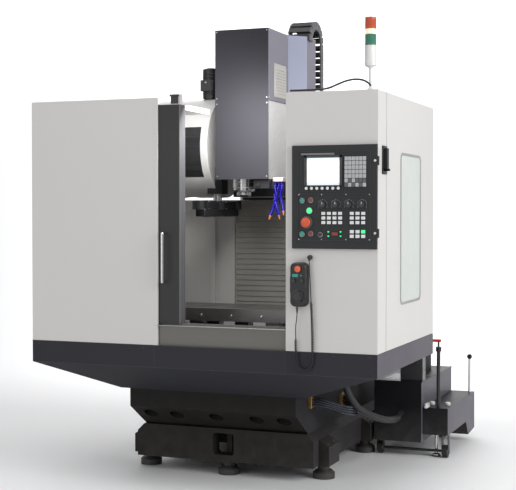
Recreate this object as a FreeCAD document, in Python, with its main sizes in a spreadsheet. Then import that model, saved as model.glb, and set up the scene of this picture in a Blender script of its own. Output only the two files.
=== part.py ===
import FreeCAD, Part
import Sketcher
import math
import os
from types import SimpleNamespace

# CNC machining centre with a vertical spindle, a sliding front door and an arm-type tool changer.
# Millimetres. X = 0 is the machine's centre line, the front faces -Y, and the floor is Z = 0.

V = FreeCAD.Vector
doc = FreeCAD.newDocument("machining_centre")

# ---------------------------------------------------------------------------
# Driving dimensions
# ---------------------------------------------------------------------------
DIMENSIONS = {
    # sheet-metal enclosure
    "half_width": 972, "front": 1015, "side_depth": 1163, "guard_sheet": 3, "guard_flange": 40,
    "fascia_bottom": 627, "guard_bottom": 742, "guard_top": 2034, "foot_flange": 30,
    "opening_left": 216, "opening_right": 497, "left_return": 12, "right_return": 55,
    "corner_plate": 142, "rear_fold": 30, "rear_fold_depth": 18,
    # coolant tray under the guards
    "tray_floor": 480, "tray_floor_half": 534, "tray_floor_front": 817, "tray_floor_rear": 100,
    "tray_sheet": 4, "chute_left": 540, "chute_width": 120, "chute_height": 90, "chute_reach": 182,
    # base casting
    "base_half": 480, "base_rear": 900, "base_low": 80, "base_belly": 383, "base_notch": 260,
    "base_front": 650, "base_notch_front": 623, "base_skirt_half": 520, "toe_half": 580,
    "toe_top": 184, "toe_front": 567, "toe_length": 177, "middle_toe": 220, "rear_toe": 723,
    "bed_half": 300, "bed_top": 620, "bed_front": 745, "bed_trough_half": 60, "bed_trough": 560,
    "hatch_half": 62, "hatch_low": 116, "hatch_high": 235, "hatch_corner": 16, "front_wall": 90,
    "scoop_radius": 38, "scoop_depth": 745, "scoop_top": 440, "scoop_inner": 233,
    "scoop_outer": 388, "rib_cell": 422, "rib": 30, "rib_roof": 330,
    # levelling feet
    "pad_radius": 60, "pad_height": 45, "pad_screw": 18, "pad_screw_top": 110, "pad_side": 520,
    "pad_front": 478, "pad_nose": 566, "pad_middle": 309, "pad_rear": 812, "foot_gap": 1,
    # column
    "column_half": 205, "column_front": 130, "column_rear": 640, "column_top": 2130,
    "column_foot_half": 300, "column_foot_top": 680, "apron_half": 225, "apron_front": 78,
    "apron_top": 840, "column_rib": 30, "column_cells": 4,
    # guide rails, carriages and ball screws
    "rail_width": 30, "bed_rail": 210, "bed_rail_height": 25, "column_rail": 135,
    "column_rail_height": 32, "column_rail_low": 845, "column_rail_high": 2110,
    "table_rail": 120, "table_rail_height": 22, "rail_gap": 0.5, "carriage_wall": 16,
    "carriage_length": 80, "screw_radius": 12.5, "screw_fit": 0.05, "bearing_block": 15,
    # saddle and table
    "cross_centre": 347, "saddle_half": 380, "saddle_half_depth": 190, "saddle_low": 660,
    "saddle_top": 760, "screw_trough": 25, "nut_half": 38, "nut_half_length": 40,
    "cross_screw": 774, "bed_screw": 625, "table_half": 450, "table_half_depth": 193,
    "table_low": 836, "table_top": 906, "slot_mouth": 18, "slot_neck": 24, "slot_width": 30,
    "slot_height": 14, "slot_pitch": 100, "axis_motor_half": 55, "axis_motor_length": 140,
    # way covers
    "way_cover_half": 262, "way_cover_top": 700, "way_cover_low": 650, "slat_half": 225,
    "slat_thickness": 12, "slat_top": 1512,
    # head
    "head_left": 136, "head_right": 180, "head_front": 435, "head_back": 60, "head_low": 1625,
    "head_top": 2060, "head_heel": 1528, "heel_front": 175,
    "cover_left": 138, "cover_right": 182, "cover_top": 2457, "cover_sheet": 3,
    "cover_shoulder": 122, "cover_wide": 267, "cover_wide_front": 35, "cover_back": 120,
    "head_screw_back": 112, "lip_low": 1515, "lip_half": 165, "back_plate": 20,
    # spindle
    "nose_radius": 66.5, "nose_low": 1555, "nose_high": 1700, "spindle_radius": 40,
    "spindle_low": 1537, "spindle_lip": 44, "spindle_lip_height": 13, "spindle_neck": 30,
    "spindle_top": 2040, "taper_mouth": 22.2, "taper_end": 12, "taper_length": 65,
    "drawbar_depth": 103, "spindle_motor_half": 85, "spindle_motor_height": 320,
    # tool changer
    "drum_back": 105, "drum_height": 1815, "drum_radius": 290, "drum_left": 600,
    "drum_right": 212, "drum_sheet": 3, "drum_window_left": 500, "drum_window_right": 251,
    "drum_window_low": 1640, "drum_window_high": 1926, "tool_hole": 60, "pot_radius": 31,
    "pot_bore": 22, "pot_length": 84, "pot_pitch": 215, "pot_centre": 430, "pot_count": 20,
    "disc_plate": 15, "disc_left": 372, "disc_radius": 235, "disc_shaft": 20, "ear": 3,
    "ear_gap": 1, "cam_left": 345, "cam_front": 300, "cam_back": 50, "cam_low": 1620,
    "cam_high": 2000, "arm_bracket_rear": 400, "arm_bracket_low": 1650, "arm_bracket_high": 1950,
    "arm_x": 215, "arm_y": 226, "arm_reach": 246.7, "arm_shaft_radius": 25, "arm_nose_low": 1545,
    "arm_nose_top": 1700, "arm_low": 1455, "arm_high": 1505, "claw_radius": 45, "claw_bore": 32,
    "arm_bar_half": 26, "cam_motor_radius": 47.5, "cam_motor_low": 2110, "cam_motor_top": 2283,
    "cam_motor_x": 310, "disc_motor_radius": 45, "disc_motor_length": 100,
    # cable carrier
    "chain_left": 143, "chain_right": 284, "chain_outer": 125, "chain_inner": 75,
    "chain_back": 95, "chain_height": 2435,
    # sliding door
    "door_left": 815, "door_right": 95, "door_front": 1000, "door_back": 960, "door_low": 857,
    "door_high": 1997, "stile_left": 218, "stile_back": 930, "door_wall": 3, "roof_back": 614,
    "roof_lip": 24, "door_pane_left": 740, "door_pane_right": 280, "door_pane_low": 1150,
    "door_pane_high": 1800, "pane_corner": 40, "pane_thickness": 5, "track_half": 4,
    "track_height": 12, "track_left": 940, "handle_x": 173, "handle_low": 1078,
    "handle_high": 1328, "handle_radius": 8, "handle_reach": 46, "sill_left": 236,
    "sill_right": 493, "sill_top": 850, "sill_back": 940, "sill_sheet": 4,
    # side window
    "window_front": 585, "window_back": 168, "window_low": 962, "window_high": 1742,
    # operator panel
    "panel_left": 535, "panel_low": 1258, "panel_high": 1768, "panel_proud": 15,
    "panel_box_left": 550, "panel_box_right": 925, "panel_box_margin": 17, "panel_box_back": 910,
    "panel_cutout": 10, "panel_flange_gap": 1, "screen_left": 614, "screen_right": 783,
    "screen_low": 1571, "screen_high": 1706, "button_gap": 0.5,
    "estop_x": 613, "estop_z": 1388, "estop_radius": 23, "estop_height": 26, "estop_stem": 11,
    "start_x": 628, "start_z": 1446, "start_radius": 13, "start_height": 8, "dial_z": 1476,
    "dial_first": 697, "dial_pitch": 67, "dial_radius": 14, "dial_height": 18, "dial_stem": 5,
    "latch_z_low": 1336, "latch_z_high": 1688, "key_height": 3, "soft_key": 15,
    "soft_key_first": 603.5, "soft_key_low": 1548.5, "soft_key_pitch": 27.6,
    "data_key_first": 810, "data_key_low": 1563, "data_key_pitch": 18.4, "data_key_row": 21.3,
    "data_key_width": 15.5, "data_key_height": 18, "mode_key_first": 691.5,
    "jog_key_first": 837.5, "mode_key_low": 1379.5, "jog_key_low": 1313.5,
    "mode_key_pitch": 28.7, "mode_key_row": 22.5, "mode_key_width": 19, "mode_key_height": 15,
    # signal tower
    "tower_x": 912, "tower_y": 940, "tower_pole": 8, "tower_pole_top": 2156, "tower_radius": 29,
    "tower_body_top": 2256, "tower_green_top": 2310, "tower_ring_top": 2337,
    "tower_red_top": 2395,
    # hand-held pendant
    "pendant_left": 531, "pendant_right": 625, "pendant_low": 968, "pendant_high": 1192,
    "pendant_thickness": 46, "pendant_corner": 14, "wheel_x": 578, "wheel_z": 1024,
    "wheel_radius": 30, "wheel_height": 16, "wheel_stem": 6, "gland_x": 628, "gland_z": 1215,
    "gland_radius": 11, "curl_radius": 8, "lead_radius": 2.5, "cable_radius": 5,
    "conduit_radius": 11,
    # electrical cabinet
    "cabinet_half": 430, "cabinet_low": 560, "cabinet_high": 1950, "cabinet_depth": 400,
    "cabinet_sheet": 3, "cabinet_door": 22, "cabinet_lip": 20, "rear_reach": 1077,
    # coolant tank
    "tank_left": 600, "tank_middle": 885, "tank_right": 1035, "tank_front": 230,
    "tank_rear": 1035, "tank_low": 90, "tank_top": 440, "tank_sheet": 4, "side_tank_front": 260,
    "side_tank_low": 135, "side_tank_top": 290, "tank_wheel_radius": 37,
    "tank_wheel_width": 28, "tank_axle": 8, "tank_wheel_y": 300, "tank_foot_radius": 28,
    "switch_left": 751, "switch_width": 134, "switch_depth": 70, "switch_top": 599,
    "riser_x": 970, "riser_top": 623, "pump_x": 742, "pump_y": 820, "pump_radius": 60,
    "pump_height": 250, "drain_radius": 19, "hatch_margin": 30, "hatch_start": 110,
    "hatch_length": 250,
    # lubricator and air unit
    "side_reach": 1035, "lube_depth": 155, "lube_thickness": 150,
    "lube_low": 900, "lube_high": 1180,
}

sheet = doc.addObject("Spreadsheet::Sheet", "sizes")
for row, (alias, number) in enumerate(DIMENSIONS.items(), start=1):
    sheet.set("A%d" % row, alias)
    sheet.set("B%d" % row, repr(number))
    sheet.setAlias("B%d" % row, alias)
doc.recompute()


class Size:
    """A length together with the spreadsheet expression that gives it."""

    def __init__(self, value, text):
        self.value = float(value)
        self.text = text

    def __add__(self, other):
        other = as_size(other)
        return Size(self.value + other.value, "(%s + %s)" % (self.text, other.text))

    def __sub__(self, other):
        other = as_size(other)
        return Size(self.value - other.value, "(%s - %s)" % (self.text, other.text))

    def __mul__(self, other):
        other = as_size(other)
        return Size(self.value * other.value, "(%s * %s)" % (self.text, other.text))

    def __truediv__(self, other):
        other = as_size(other)
        return Size(self.value / other.value, "(%s / %s)" % (self.text, other.text))

    def __radd__(self, other):
        return as_size(other) + self

    def __rsub__(self, other):
        return as_size(other) - self

    def __rmul__(self, other):
        return as_size(other) * self

    def __neg__(self):
        return 0 - self


def as_size(number):
    """A plain number as a Size, so that both mix in one sum."""
    return number if isinstance(number, Size) else Size(number, "(%r)" % float(number))


S = SimpleNamespace(**{alias: Size(sheet.get(alias), "sizes." + alias) for alias in DIMENSIONS})
REAR = S.side_depth - S.front          # Y of the enclosure's rear edge
CROSS = -S.cross_centre                # Y of the spindle, the saddle and the table


def bind(part, name, size):
    """Drive one property of a part from the spreadsheet."""
    part.setExpression(name, as_size(size).text)


# ---------------------------------------------------------------------------
# Shapes
# ---------------------------------------------------------------------------
ALONG = {
    "X": FreeCAD.Rotation(V(0, 1, 0), 90),
    "Y": FreeCAD.Rotation(V(1, 0, 0), -90),
    "Z": FreeCAD.Rotation(),
}
PLANES = {
    "XY": (FreeCAD.Rotation(), V(0, 0, 1), "z"),
    "XZ": (FreeCAD.Rotation(V(1, 0, 0), 90), V(0, 1, 0), "y"),
    "YZ": (FreeCAD.Rotation(V(1, 1, 1), 120), V(1, 0, 0), "x"),
}


def box(x, y, z):
    """Block; each of x, y and z is a (low, high) pair."""
    block = doc.addObject("Part::Box", "block")
    for side, axis, (low, high) in zip(("Length", "Width", "Height"), "xyz", (x, y, z)):
        bind(block, side, as_size(high) - low)
        bind(block, "Placement.Base." + axis, low)
    return block


def rod(axis, at, radius, span):
    """Cylinder along an axis; at holds its two other coordinates in X, Y, Z order."""
    part = doc.addObject("Part::Cylinder", "rod")
    part.Placement = FreeCAD.Placement(V(), ALONG[axis])
    bind(part, "Radius", radius)
    bind(part, "Height", as_size(span[1]) - span[0])
    place = list(at)
    place.insert("XYZ".index(axis), span[0])
    for name, value in zip("xyz", place):
        bind(part, "Placement.Base." + name, value)
    return part


def ball(centre, radius):
    """Sphere."""
    part = doc.addObject("Part::Sphere", "ball")
    bind(part, "Radius", radius)
    for name, value in zip("xyz", centre):
        bind(part, "Placement.Base." + name, value)
    return part


def outline(sketch, points):
    """Closed run of straight lines whose corners are held by the spreadsheet."""
    corners = [(as_size(a), as_size(b)) for a, b in points]
    count = len(corners)
    for index in range(count):
        (a, b), (c, d) = corners[index], corners[(index + 1) % count]
        sketch.addGeometry(Part.LineSegment(V(a.value, b.value, 0), V(c.value, d.value, 0)), False)
    for index in range(count):
        sketch.addConstraint(Sketcher.Constraint("Coincident", index, 2, (index + 1) % count, 1))
    for index, corner in enumerate(corners):
        for kind, size in zip(("DistanceX", "DistanceY"), corner):
            number = sketch.addConstraint(
                Sketcher.Constraint(kind, -1, 1, index, 1, size.value))
            sketch.setExpression("Constraints[%d]" % number, size.text)
    return sketch


def prism(plane, points, span):
    """Straight-sided outline in a plane, carried along the plane's third axis over a span."""
    turn, way, axis = PLANES[plane]
    sketch = outline(doc.addObject("Sketcher::SketchObject", "outline"), points)
    sketch.Placement = FreeCAD.Placement(V(), turn)
    bind(sketch, "Placement.Base." + axis, span[0])
    part = doc.addObject("Part::Extrusion", "prism")
    part.Base = sketch
    part.DirMode = "Custom"
    part.Dir = way
    part.Solid = True
    bind(part, "LengthFwd", as_size(span[1]) - span[0])
    return part


def turned(profile, at, axis="Z"):
    """Profile of (radius, height) corners turned about an axis through the point at."""
    sketch = outline(doc.addObject("Sketcher::SketchObject", "profile"), profile)
    sketch.Placement = FreeCAD.Placement(V(), PLANES["XZ"][0])
    part = doc.addObject("Part::Revolution", "turned")
    part.Source = sketch
    part.Axis = V(0, 0, 1)
    part.Base = V()
    part.Angle = 360
    part.Solid = True
    part.Placement = FreeCAD.Placement(V(), ALONG[axis])
    for name, value in zip("xyz", at):
        bind(part, "Placement.Base." + name, value)
    return part


def fuse(*parts):
    """One solid from pieces that meet."""
    joined = doc.addObject("Part::MultiFuse", "joined")
    joined.Shapes = list(parts)
    joined.Refine = True
    return joined


def cut(base, *tools):
    """The base less every tool."""
    part = doc.addObject("Part::Cut", "cut")
    part.Base = base
    part.Tool = tools[0] if len(tools) == 1 else fuse(*tools)
    part.Refine = True
    return part


def group(*parts):
    """Separate solids that share one node."""
    bundle = doc.addObject("Part::Compound", "group")
    bundle.Links = list(parts)
    return bundle


def slab(plane, a, b, radius, span):
    """Plate with four round corners: a and b are its extents in the plane."""
    axis = {"XY": "Z", "XZ": "Y", "YZ": "X"}[plane]

    def block(first, second):
        return {"XY": lambda: box(first, second, span), "XZ": lambda: box(first, span, second),
                "YZ": lambda: box(span, first, second)}[plane]()

    near, far = (as_size(a[0]) + radius, as_size(a[1]) - radius)
    low, high = (as_size(b[0]) + radius, as_size(b[1]) - radius)
    corners = [rod(axis, (u, v), radius, span) for u in (near, far) for v in (low, high)]
    return fuse(block((near, far), b), block(a, (low, high)), *corners)


def mirrored(make, *distances):
    """The same piece made at plus and at minus each distance."""
    return [make(side * distance) for distance in distances for side in (-1, 1)]


def around(centre, half):
    """(low, high) pair about a centre."""
    return (as_size(centre) - half, as_size(centre) + half)


# PartDesign bodies -----------------------------------------------------------
def body_sketch(body, plane, points, offset):
    """Sketch on one of the body's own origin planes, moved along that plane's normal."""
    sketch = body.newObject("Sketcher::SketchObject", "sketch")
    base = [f for f in body.Origin.OriginFeatures if f.Role == plane + "_Plane"][0]
    sketch.AttachmentSupport = [(base, "")]
    sketch.MapMode = "FlatFace"
    bind(sketch, "AttachmentOffset.Base.z", offset)
    return outline(sketch, points)


def padded_body(plane, points, span):
    """Body whose first feature is a pad over the span; the XZ plane's normal is -Y."""
    body = doc.addObject("PartDesign::Body", "body")
    offset = -as_size(span[1]) if plane == "XZ" else as_size(span[0])
    pad = body.newObject("PartDesign::Pad", "pad")
    pad.Profile = body_sketch(body, plane, points, offset)
    bind(pad, "Length", as_size(span[1]) - span[0])
    doc.recompute()
    return body


def pocket(body, plane, points, span):
    """Cut an outline out of a body over the span and check that it took material away."""
    before = body.Shape.Volume
    offset = -as_size(span[0]) if plane == "XZ" else as_size(span[1])
    hole = body.newObject("PartDesign::Pocket", "pocket")
    hole.Profile = body_sketch(body, plane, points, offset)
    bind(hole, "Length", as_size(span[1]) - span[0])
    doc.recompute()
    if not body.Shape.Volume < before:
        raise ValueError("a pocket in %s takes nothing away" % body.Label)
    return body


def rectangle(a, b):
    """Corners of a rectangle from its two (low, high) pairs."""
    return [(a[0], b[0]), (a[1], b[0]), (a[1], b[1]), (a[0], b[1])]


NODES = []


def node(name, part):
    """Name a finished sub-part; the label is also its file's name."""
    part.Label = name
    NODES.append(part)
    return part


# Cords ------------------------------------------------------------------------
def cord(name, points, radius):
    """Round cord along straight runs joined by tangent arcs, as large as the runs allow."""
    corners = [V(*p) for p in points]
    edges, radii, start = [], [], corners[0]
    for before, corner, after in zip(corners, corners[1:], corners[2:]):
        back, ahead = (before - corner), (after - corner)
        shorter = min(back.Length, ahead.Length)
        back.normalize()
        ahead.normalize()
        turn = math.pi - back.getAngle(ahead)
        bend = 0.45 * shorter / math.tan(turn / 2)
        reach = 0.45 * shorter
        first, last = corner + back * reach, corner + ahead * reach
        middle = corner + (back + ahead).normalize() * (bend / math.cos(turn / 2) - bend)
        edges.append(Part.LineSegment(start, first).toShape())
        edges.append(Part.Arc(first, middle, last).toShape())
        radii.append(bend)
        start = last
    edges.append(Part.LineSegment(start, corners[-1]).toShape())
    path = Part.Wire(edges)
    heading = corners[1] - corners[0]
    ring = Part.Wire([Part.Circle(corners[0], heading, radius.value).toShape()])
    solid = path.makePipeShell([ring], True, False)
    expected = math.pi * radius.value ** 2 * path.Length
    if abs(solid.Volume - expected) > 0.02 * expected:
        raise ValueError("%s: swept volume %.0f is not %.0f" % (name, solid.Volume, expected))
    print("%s: length %.0f, radii %s" % (name, path.Length, " ".join("%.0f" % r for r in radii)))
    part = doc.addObject("Part::Feature", "cord")
    part.Shape = solid
    return node(name, part)


# ---------------------------------------------------------------------------
# Base, feet and column
# ---------------------------------------------------------------------------
def base_casting():
    """Ribbed iron base: flared skirt, slanted belly with cast scoops and the raised bed."""
    side = [(-S.tray_floor_front, S.tray_floor), (-S.tray_floor_front, S.base_belly),
            (-S.base_notch_front, S.base_notch), (S.base_rear, S.base_notch),
            (S.base_rear, S.tray_floor)]
    block = prism("YZ", side, around(0, S.base_half))
    bevel = S.base_notch - (S.base_skirt_half - S.base_half)
    skirt = prism("XZ", [(-S.base_skirt_half, S.base_low), (S.base_skirt_half, S.base_low),
                         (S.base_skirt_half, bevel), (S.base_half, S.base_notch),
                         (-S.base_half, S.base_notch), (-S.base_skirt_half, bevel)],
                  (-S.base_front, S.base_rear))
    toes = [prism("XZ", [(-S.toe_half, S.base_low), (S.toe_half, S.base_low),
                         (S.toe_half, S.toe_top), (S.base_skirt_half, bevel),
                         (-S.base_skirt_half, bevel), (-S.toe_half, S.toe_top)],
                  (start, start + S.toe_length))
            for start in (-S.toe_front, S.middle_toe, S.rear_toe)]
    bed = box(around(0, S.bed_half), (-S.bed_front, S.column_rear), (S.tray_floor, S.bed_top))
    body = fuse(block, skirt, bed, *toes)
    scoops = [rod("Z", (x, -S.scoop_depth), S.scoop_radius, (S.base_low, S.scoop_top))
              for x in [as_size(0)] + mirrored(lambda d: d, S.scoop_inner, S.scoop_outer)]
    hatch = slab("XZ", around(0, S.hatch_half), (S.hatch_low, S.hatch_high), S.hatch_corner,
                 (-S.base_front - 1, -S.base_front + S.front_wall + 1))
    trough = box(around(0, S.bed_trough_half), (-S.bed_front - 1, S.column_front),
                 (S.bed_trough, S.bed_top + 1))
    first_row = -S.base_front + S.front_wall
    cells = []
    for column in range(2):
        left = (column - 1) * (S.rib_cell + S.rib) + S.rib / 2
        for row in range(3):
            near = first_row + row * (S.rib_cell + S.rib)
            cells.append(box((left, left + S.rib_cell), (near, near + S.rib_cell),
                             (S.base_low - 1, S.rib_roof)))
    screws = [rod("Z", (x, y), S.pad_screw + S.foot_gap, (S.base_low - 1, S.pad_screw_top + 1))
              for x, y in foot_places()]
    return node("base_casting", cut(body, hatch, trough, *scoops, *cells, *screws))


def foot_places():
    """Centres of the levelling feet."""
    rows = (-S.pad_front, S.pad_middle, S.pad_rear)
    return [(side * S.pad_side, y) for y in rows for side in (-1, 1)] + [(as_size(0), -S.pad_nose)]


def levelling_feet():
    """Pad, screw and lock nut at each foot; the lock nut bears on the casting."""
    feet = []
    for x, y in foot_places():
        profile = [(0, 0), (S.pad_radius, 0), (S.pad_radius, S.pad_height * 0.7),
                   (S.pad_radius * 0.75, S.pad_height), (S.pad_screw * 1.8, S.pad_height),
                   (S.pad_screw * 1.8, S.base_low), (S.pad_screw, S.base_low),
                   (S.pad_screw, S.pad_screw_top), (0, S.pad_screw_top)]
        feet.append(turned(profile, (x, y, 0)))
    return node("levelling_feet", group(*feet))


def column():
    """Column casting with ribbed cells open to the rear, an apron and a top screw bearing."""
    body = padded_body("XY", rectangle(around(0, S.column_half), (S.column_front, S.column_rear)),
                       (S.bed_top, S.column_top))
    cell_height = ((S.column_top - S.bed_top) - S.column_rib) / S.column_cells - S.column_rib
    for index in range(int(S.column_cells.value)):
        low = S.bed_top + S.column_rib + index * (cell_height + S.column_rib)
        pocket(body, "XZ", rectangle(around(0, S.column_half - S.column_rib),
                                     (low, low + cell_height)),
               (S.column_front + S.column_rib * 2, S.column_rear + 1))
    foot = box(around(0, S.column_foot_half), (S.column_front, S.column_rear),
               (S.bed_top, S.column_foot_top))
    foot_open = box(around(0, S.column_half - S.column_rib), (S.column_front + S.column_rib * 2,
                    S.column_rear + 1), (S.bed_top + S.column_rib, S.column_foot_top + 1))
    apron = box(around(0, S.apron_half), (S.apron_front, S.column_front),
                (S.bed_top, S.apron_top))
    bearing = box(around(0, 45), (S.head_screw_back - 27, S.column_front),
                  (S.column_rail_high - 50, S.column_rail_high - 10))
    bore = rod("Z", (0, S.head_screw_back), S.screw_radius + S.screw_fit,
               (S.column_rail_high - 60, S.column_rail_high))
    return node("column", fuse(body, cut(foot, foot_open), apron, cut(bearing, bore)))


def linear_rails():
    """Hardened rails: two on the bed and two on the column."""
    half = S.rail_width / 2
    bed = mirrored(lambda x: box(around(x, half), (-S.bed_front, S.apron_front - 2),
                                 (S.bed_top, S.bed_top + S.bed_rail_height)), S.bed_rail)
    post = mirrored(lambda x: box(around(x, half),
                                  (S.column_front - S.column_rail_height, S.column_front),
                                  (S.column_rail_low, S.column_rail_high)), S.column_rail)
    return node("linear_rails", group(*bed, *post))


# ---------------------------------------------------------------------------
# Tray, guards and window
# ---------------------------------------------------------------------------
def rectangle_sketch(x, y, height):
    """Rectangle at a height, as a section for a loft."""
    sketch = outline(doc.addObject("Sketcher::SketchObject", "section"), rectangle(x, y))
    bind(sketch, "Placement.Base.z", height)
    return sketch


def hopper(inset, floor):
    """Four-sided hopper from the fascia down to the tray's floor."""
    part = doc.addObject("Part::Loft", "hopper")
    part.Sections = [
        rectangle_sketch(around(0, S.half_width - inset), (-S.front + inset, REAR - inset),
                         S.fascia_bottom),
        rectangle_sketch(around(0, S.tray_floor_half - inset),
                         (-S.tray_floor_front + inset, S.tray_floor_rear - inset), floor)]
    part.Solid = True
    part.Ruled = True
    return part


def coolant_tray():
    """Welded tray: upright fascia with a top flange, slanted hopper and a chip chute."""
    wall = S.tray_sheet
    band = box(around(0, S.half_width), (-S.front, REAR), (S.fascia_bottom, S.guard_bottom))
    inside = box(around(0, S.half_width - wall), (-S.front + wall, REAR - wall),
                 (S.fascia_bottom, S.guard_bottom - wall))
    mouth = box(around(0, S.half_width - S.guard_flange),
                (-S.front + S.guard_flange, REAR - S.guard_flange),
                (S.guard_bottom - wall * 2, S.guard_bottom + 1))
    chute_x = (S.chute_left, S.chute_left + S.chute_width)
    chute_z = (S.tray_floor + 50, S.tray_floor + 50 + S.chute_height)
    duct = box(chute_x, (S.tray_floor_rear, REAR + S.chute_reach), chute_z)
    duct_in = box((chute_x[0] + wall, chute_x[1] - wall),
                  (S.tray_floor_rear - 40, REAR + S.chute_reach - wall),
                  (chute_z[0] + wall, chute_z[1] - wall))
    drop = box((chute_x[0] + wall, chute_x[1] - wall),
               (REAR + S.chute_reach - 70, REAR + S.chute_reach - wall),
               (chute_z[0] - 1, chute_z[1] - wall))
    bed_hole = box(around(0, S.bed_half + 5), (-S.bed_front - 5, REAR + 1),
                   (S.tray_floor - 1, S.guard_bottom + 1))
    shell = fuse(cut(band, inside, mouth), cut(hopper(as_size(0), S.tray_floor),
                 hopper(wall, S.tray_floor + wall)), duct)
    return node("coolant_tray", cut(shell, duct_in, drop, bed_hole))


def guard(side, front_span, return_x, return_depth, extras=()):
    """Folded guard: a front sheet, a side sheet, a return at the opening and flanges."""
    wall, low, high = S.guard_sheet, S.guard_bottom, S.guard_top
    outer = side * S.half_width
    skin = tuple(sorted((outer, outer - side * wall), key=lambda size: size.value))
    shelf = tuple(sorted((outer, outer - side * S.guard_flange), key=lambda size: size.value))
    ledge = tuple(sorted((outer, outer - side * S.foot_flange), key=lambda size: size.value))
    pieces = [
        box(front_span, (-S.front, -S.front + wall), (low, high)),
        box(skin, (-S.front, REAR), (low, high)),
        box(return_x, (-S.front, -S.front + return_depth), (low, high)),
        box(front_span, (-S.front, -S.front + return_depth), (low, low + wall)),
        box(front_span, (-S.front, -S.front + S.guard_flange - 28), (high - wall, high)),
        box(ledge, (-S.front, REAR - wall), (low, low + wall)),
        box(shelf, (-S.front, REAR - wall), (high - wall, high)),
    ]
    return fuse(*pieces, *extras)


def enclosure_left():
    """Left front and side guard."""
    edge = -S.opening_left
    return node("enclosure_left", guard(-1, (-S.half_width, edge), (edge - S.guard_sheet, edge),
                                        S.left_return))


def enclosure_right():
    """Right front and side guard with cut-outs for the operator panel and the window."""
    edge = S.opening_right
    corner = box((S.half_width - S.corner_plate, S.half_width),
                 (-S.front, -S.front + S.corner_plate), (S.guard_top - S.guard_sheet, S.guard_top))
    shell = guard(1, (edge, S.half_width), (edge, edge + S.guard_sheet), S.right_return, (corner,))
    panel_hole = box((S.panel_left + S.panel_cutout, S.half_width - S.panel_cutout),
                     (-S.front - 1, -S.front + S.guard_sheet + 1),
                     (S.panel_low + S.panel_cutout, S.panel_high - S.panel_cutout))
    window_hole = slab("YZ", (-S.window_front, -S.window_back), (S.window_low, S.window_high),
                       S.pane_corner, around(S.half_width, S.guard_sheet * 2))
    return node("enclosure_right", cut(shell, panel_hole, window_hole))


def side_window():
    """Polycarbonate side window, seated in the guard's cut-out."""
    return node("side_window", slab("YZ", (-S.window_front, -S.window_back),
                                    (S.window_low, S.window_high), S.pane_corner,
                                    around(S.half_width - S.guard_sheet / 2,
                                           S.pane_thickness / 2)))


def rear_guards():
    """Rear splash sheets either side of the column, with a notch for the tool drum."""
    wall, gap = S.guard_sheet, S.guard_flange / 4
    skin = (REAR - wall, REAR)
    span = (S.guard_bottom, S.guard_top)
    inner = S.column_half + gap
    outer = S.half_width - wall
    left = box((-outer, -inner), skin, span)
    notch = box((-S.drum_left - gap, -S.column_half), (REAR - wall * 2, REAR + wall),
                (S.drum_height - S.drum_radius - gap, S.guard_top + 1))
    folds = [box((x, x + S.rear_fold), (REAR - wall - S.rear_fold_depth, REAR - wall),
                 (S.guard_bottom, S.drum_height - S.drum_radius - gap * 3))
             for x in (-S.apron_half - 60, -S.apron_half - 190)]
    right_fold = box((S.apron_half + 60, S.apron_half + 60 + S.rear_fold),
                     (REAR - wall - S.rear_fold_depth, REAR - wall), span)
    right = box((inner, outer), skin, span)
    return node("rear_guards", group(fuse(cut(left, notch), *folds), fuse(right, right_fold)))


def front_sill():
    """Folded sill plate under the door opening, with the bar that guides the door."""
    wall = S.sill_sheet
    body = padded_body("YZ", [
        (-S.door_front, S.guard_bottom), (-S.door_front + wall, S.guard_bottom),
        (-S.door_front + wall, S.sill_top - wall), (-S.sill_back - wall, S.sill_top - wall),
        (-S.sill_back - wall, S.guard_bottom), (-S.sill_back, S.guard_bottom),
        (-S.sill_back, S.sill_top), (-S.door_front, S.sill_top)],
        (-S.sill_left, S.sill_right))
    middle = -(S.door_front + S.door_back) / 2
    bar = box((-S.track_left, S.sill_right), around(middle, S.track_half),
              (S.sill_top, S.sill_top + S.track_height))
    post = box((-S.track_left, -S.sill_left), around(middle, S.track_half * 2.5),
               (S.guard_bottom + S.guard_sheet, S.sill_top))
    return node("front_sill", fuse(body, bar, post))


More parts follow.
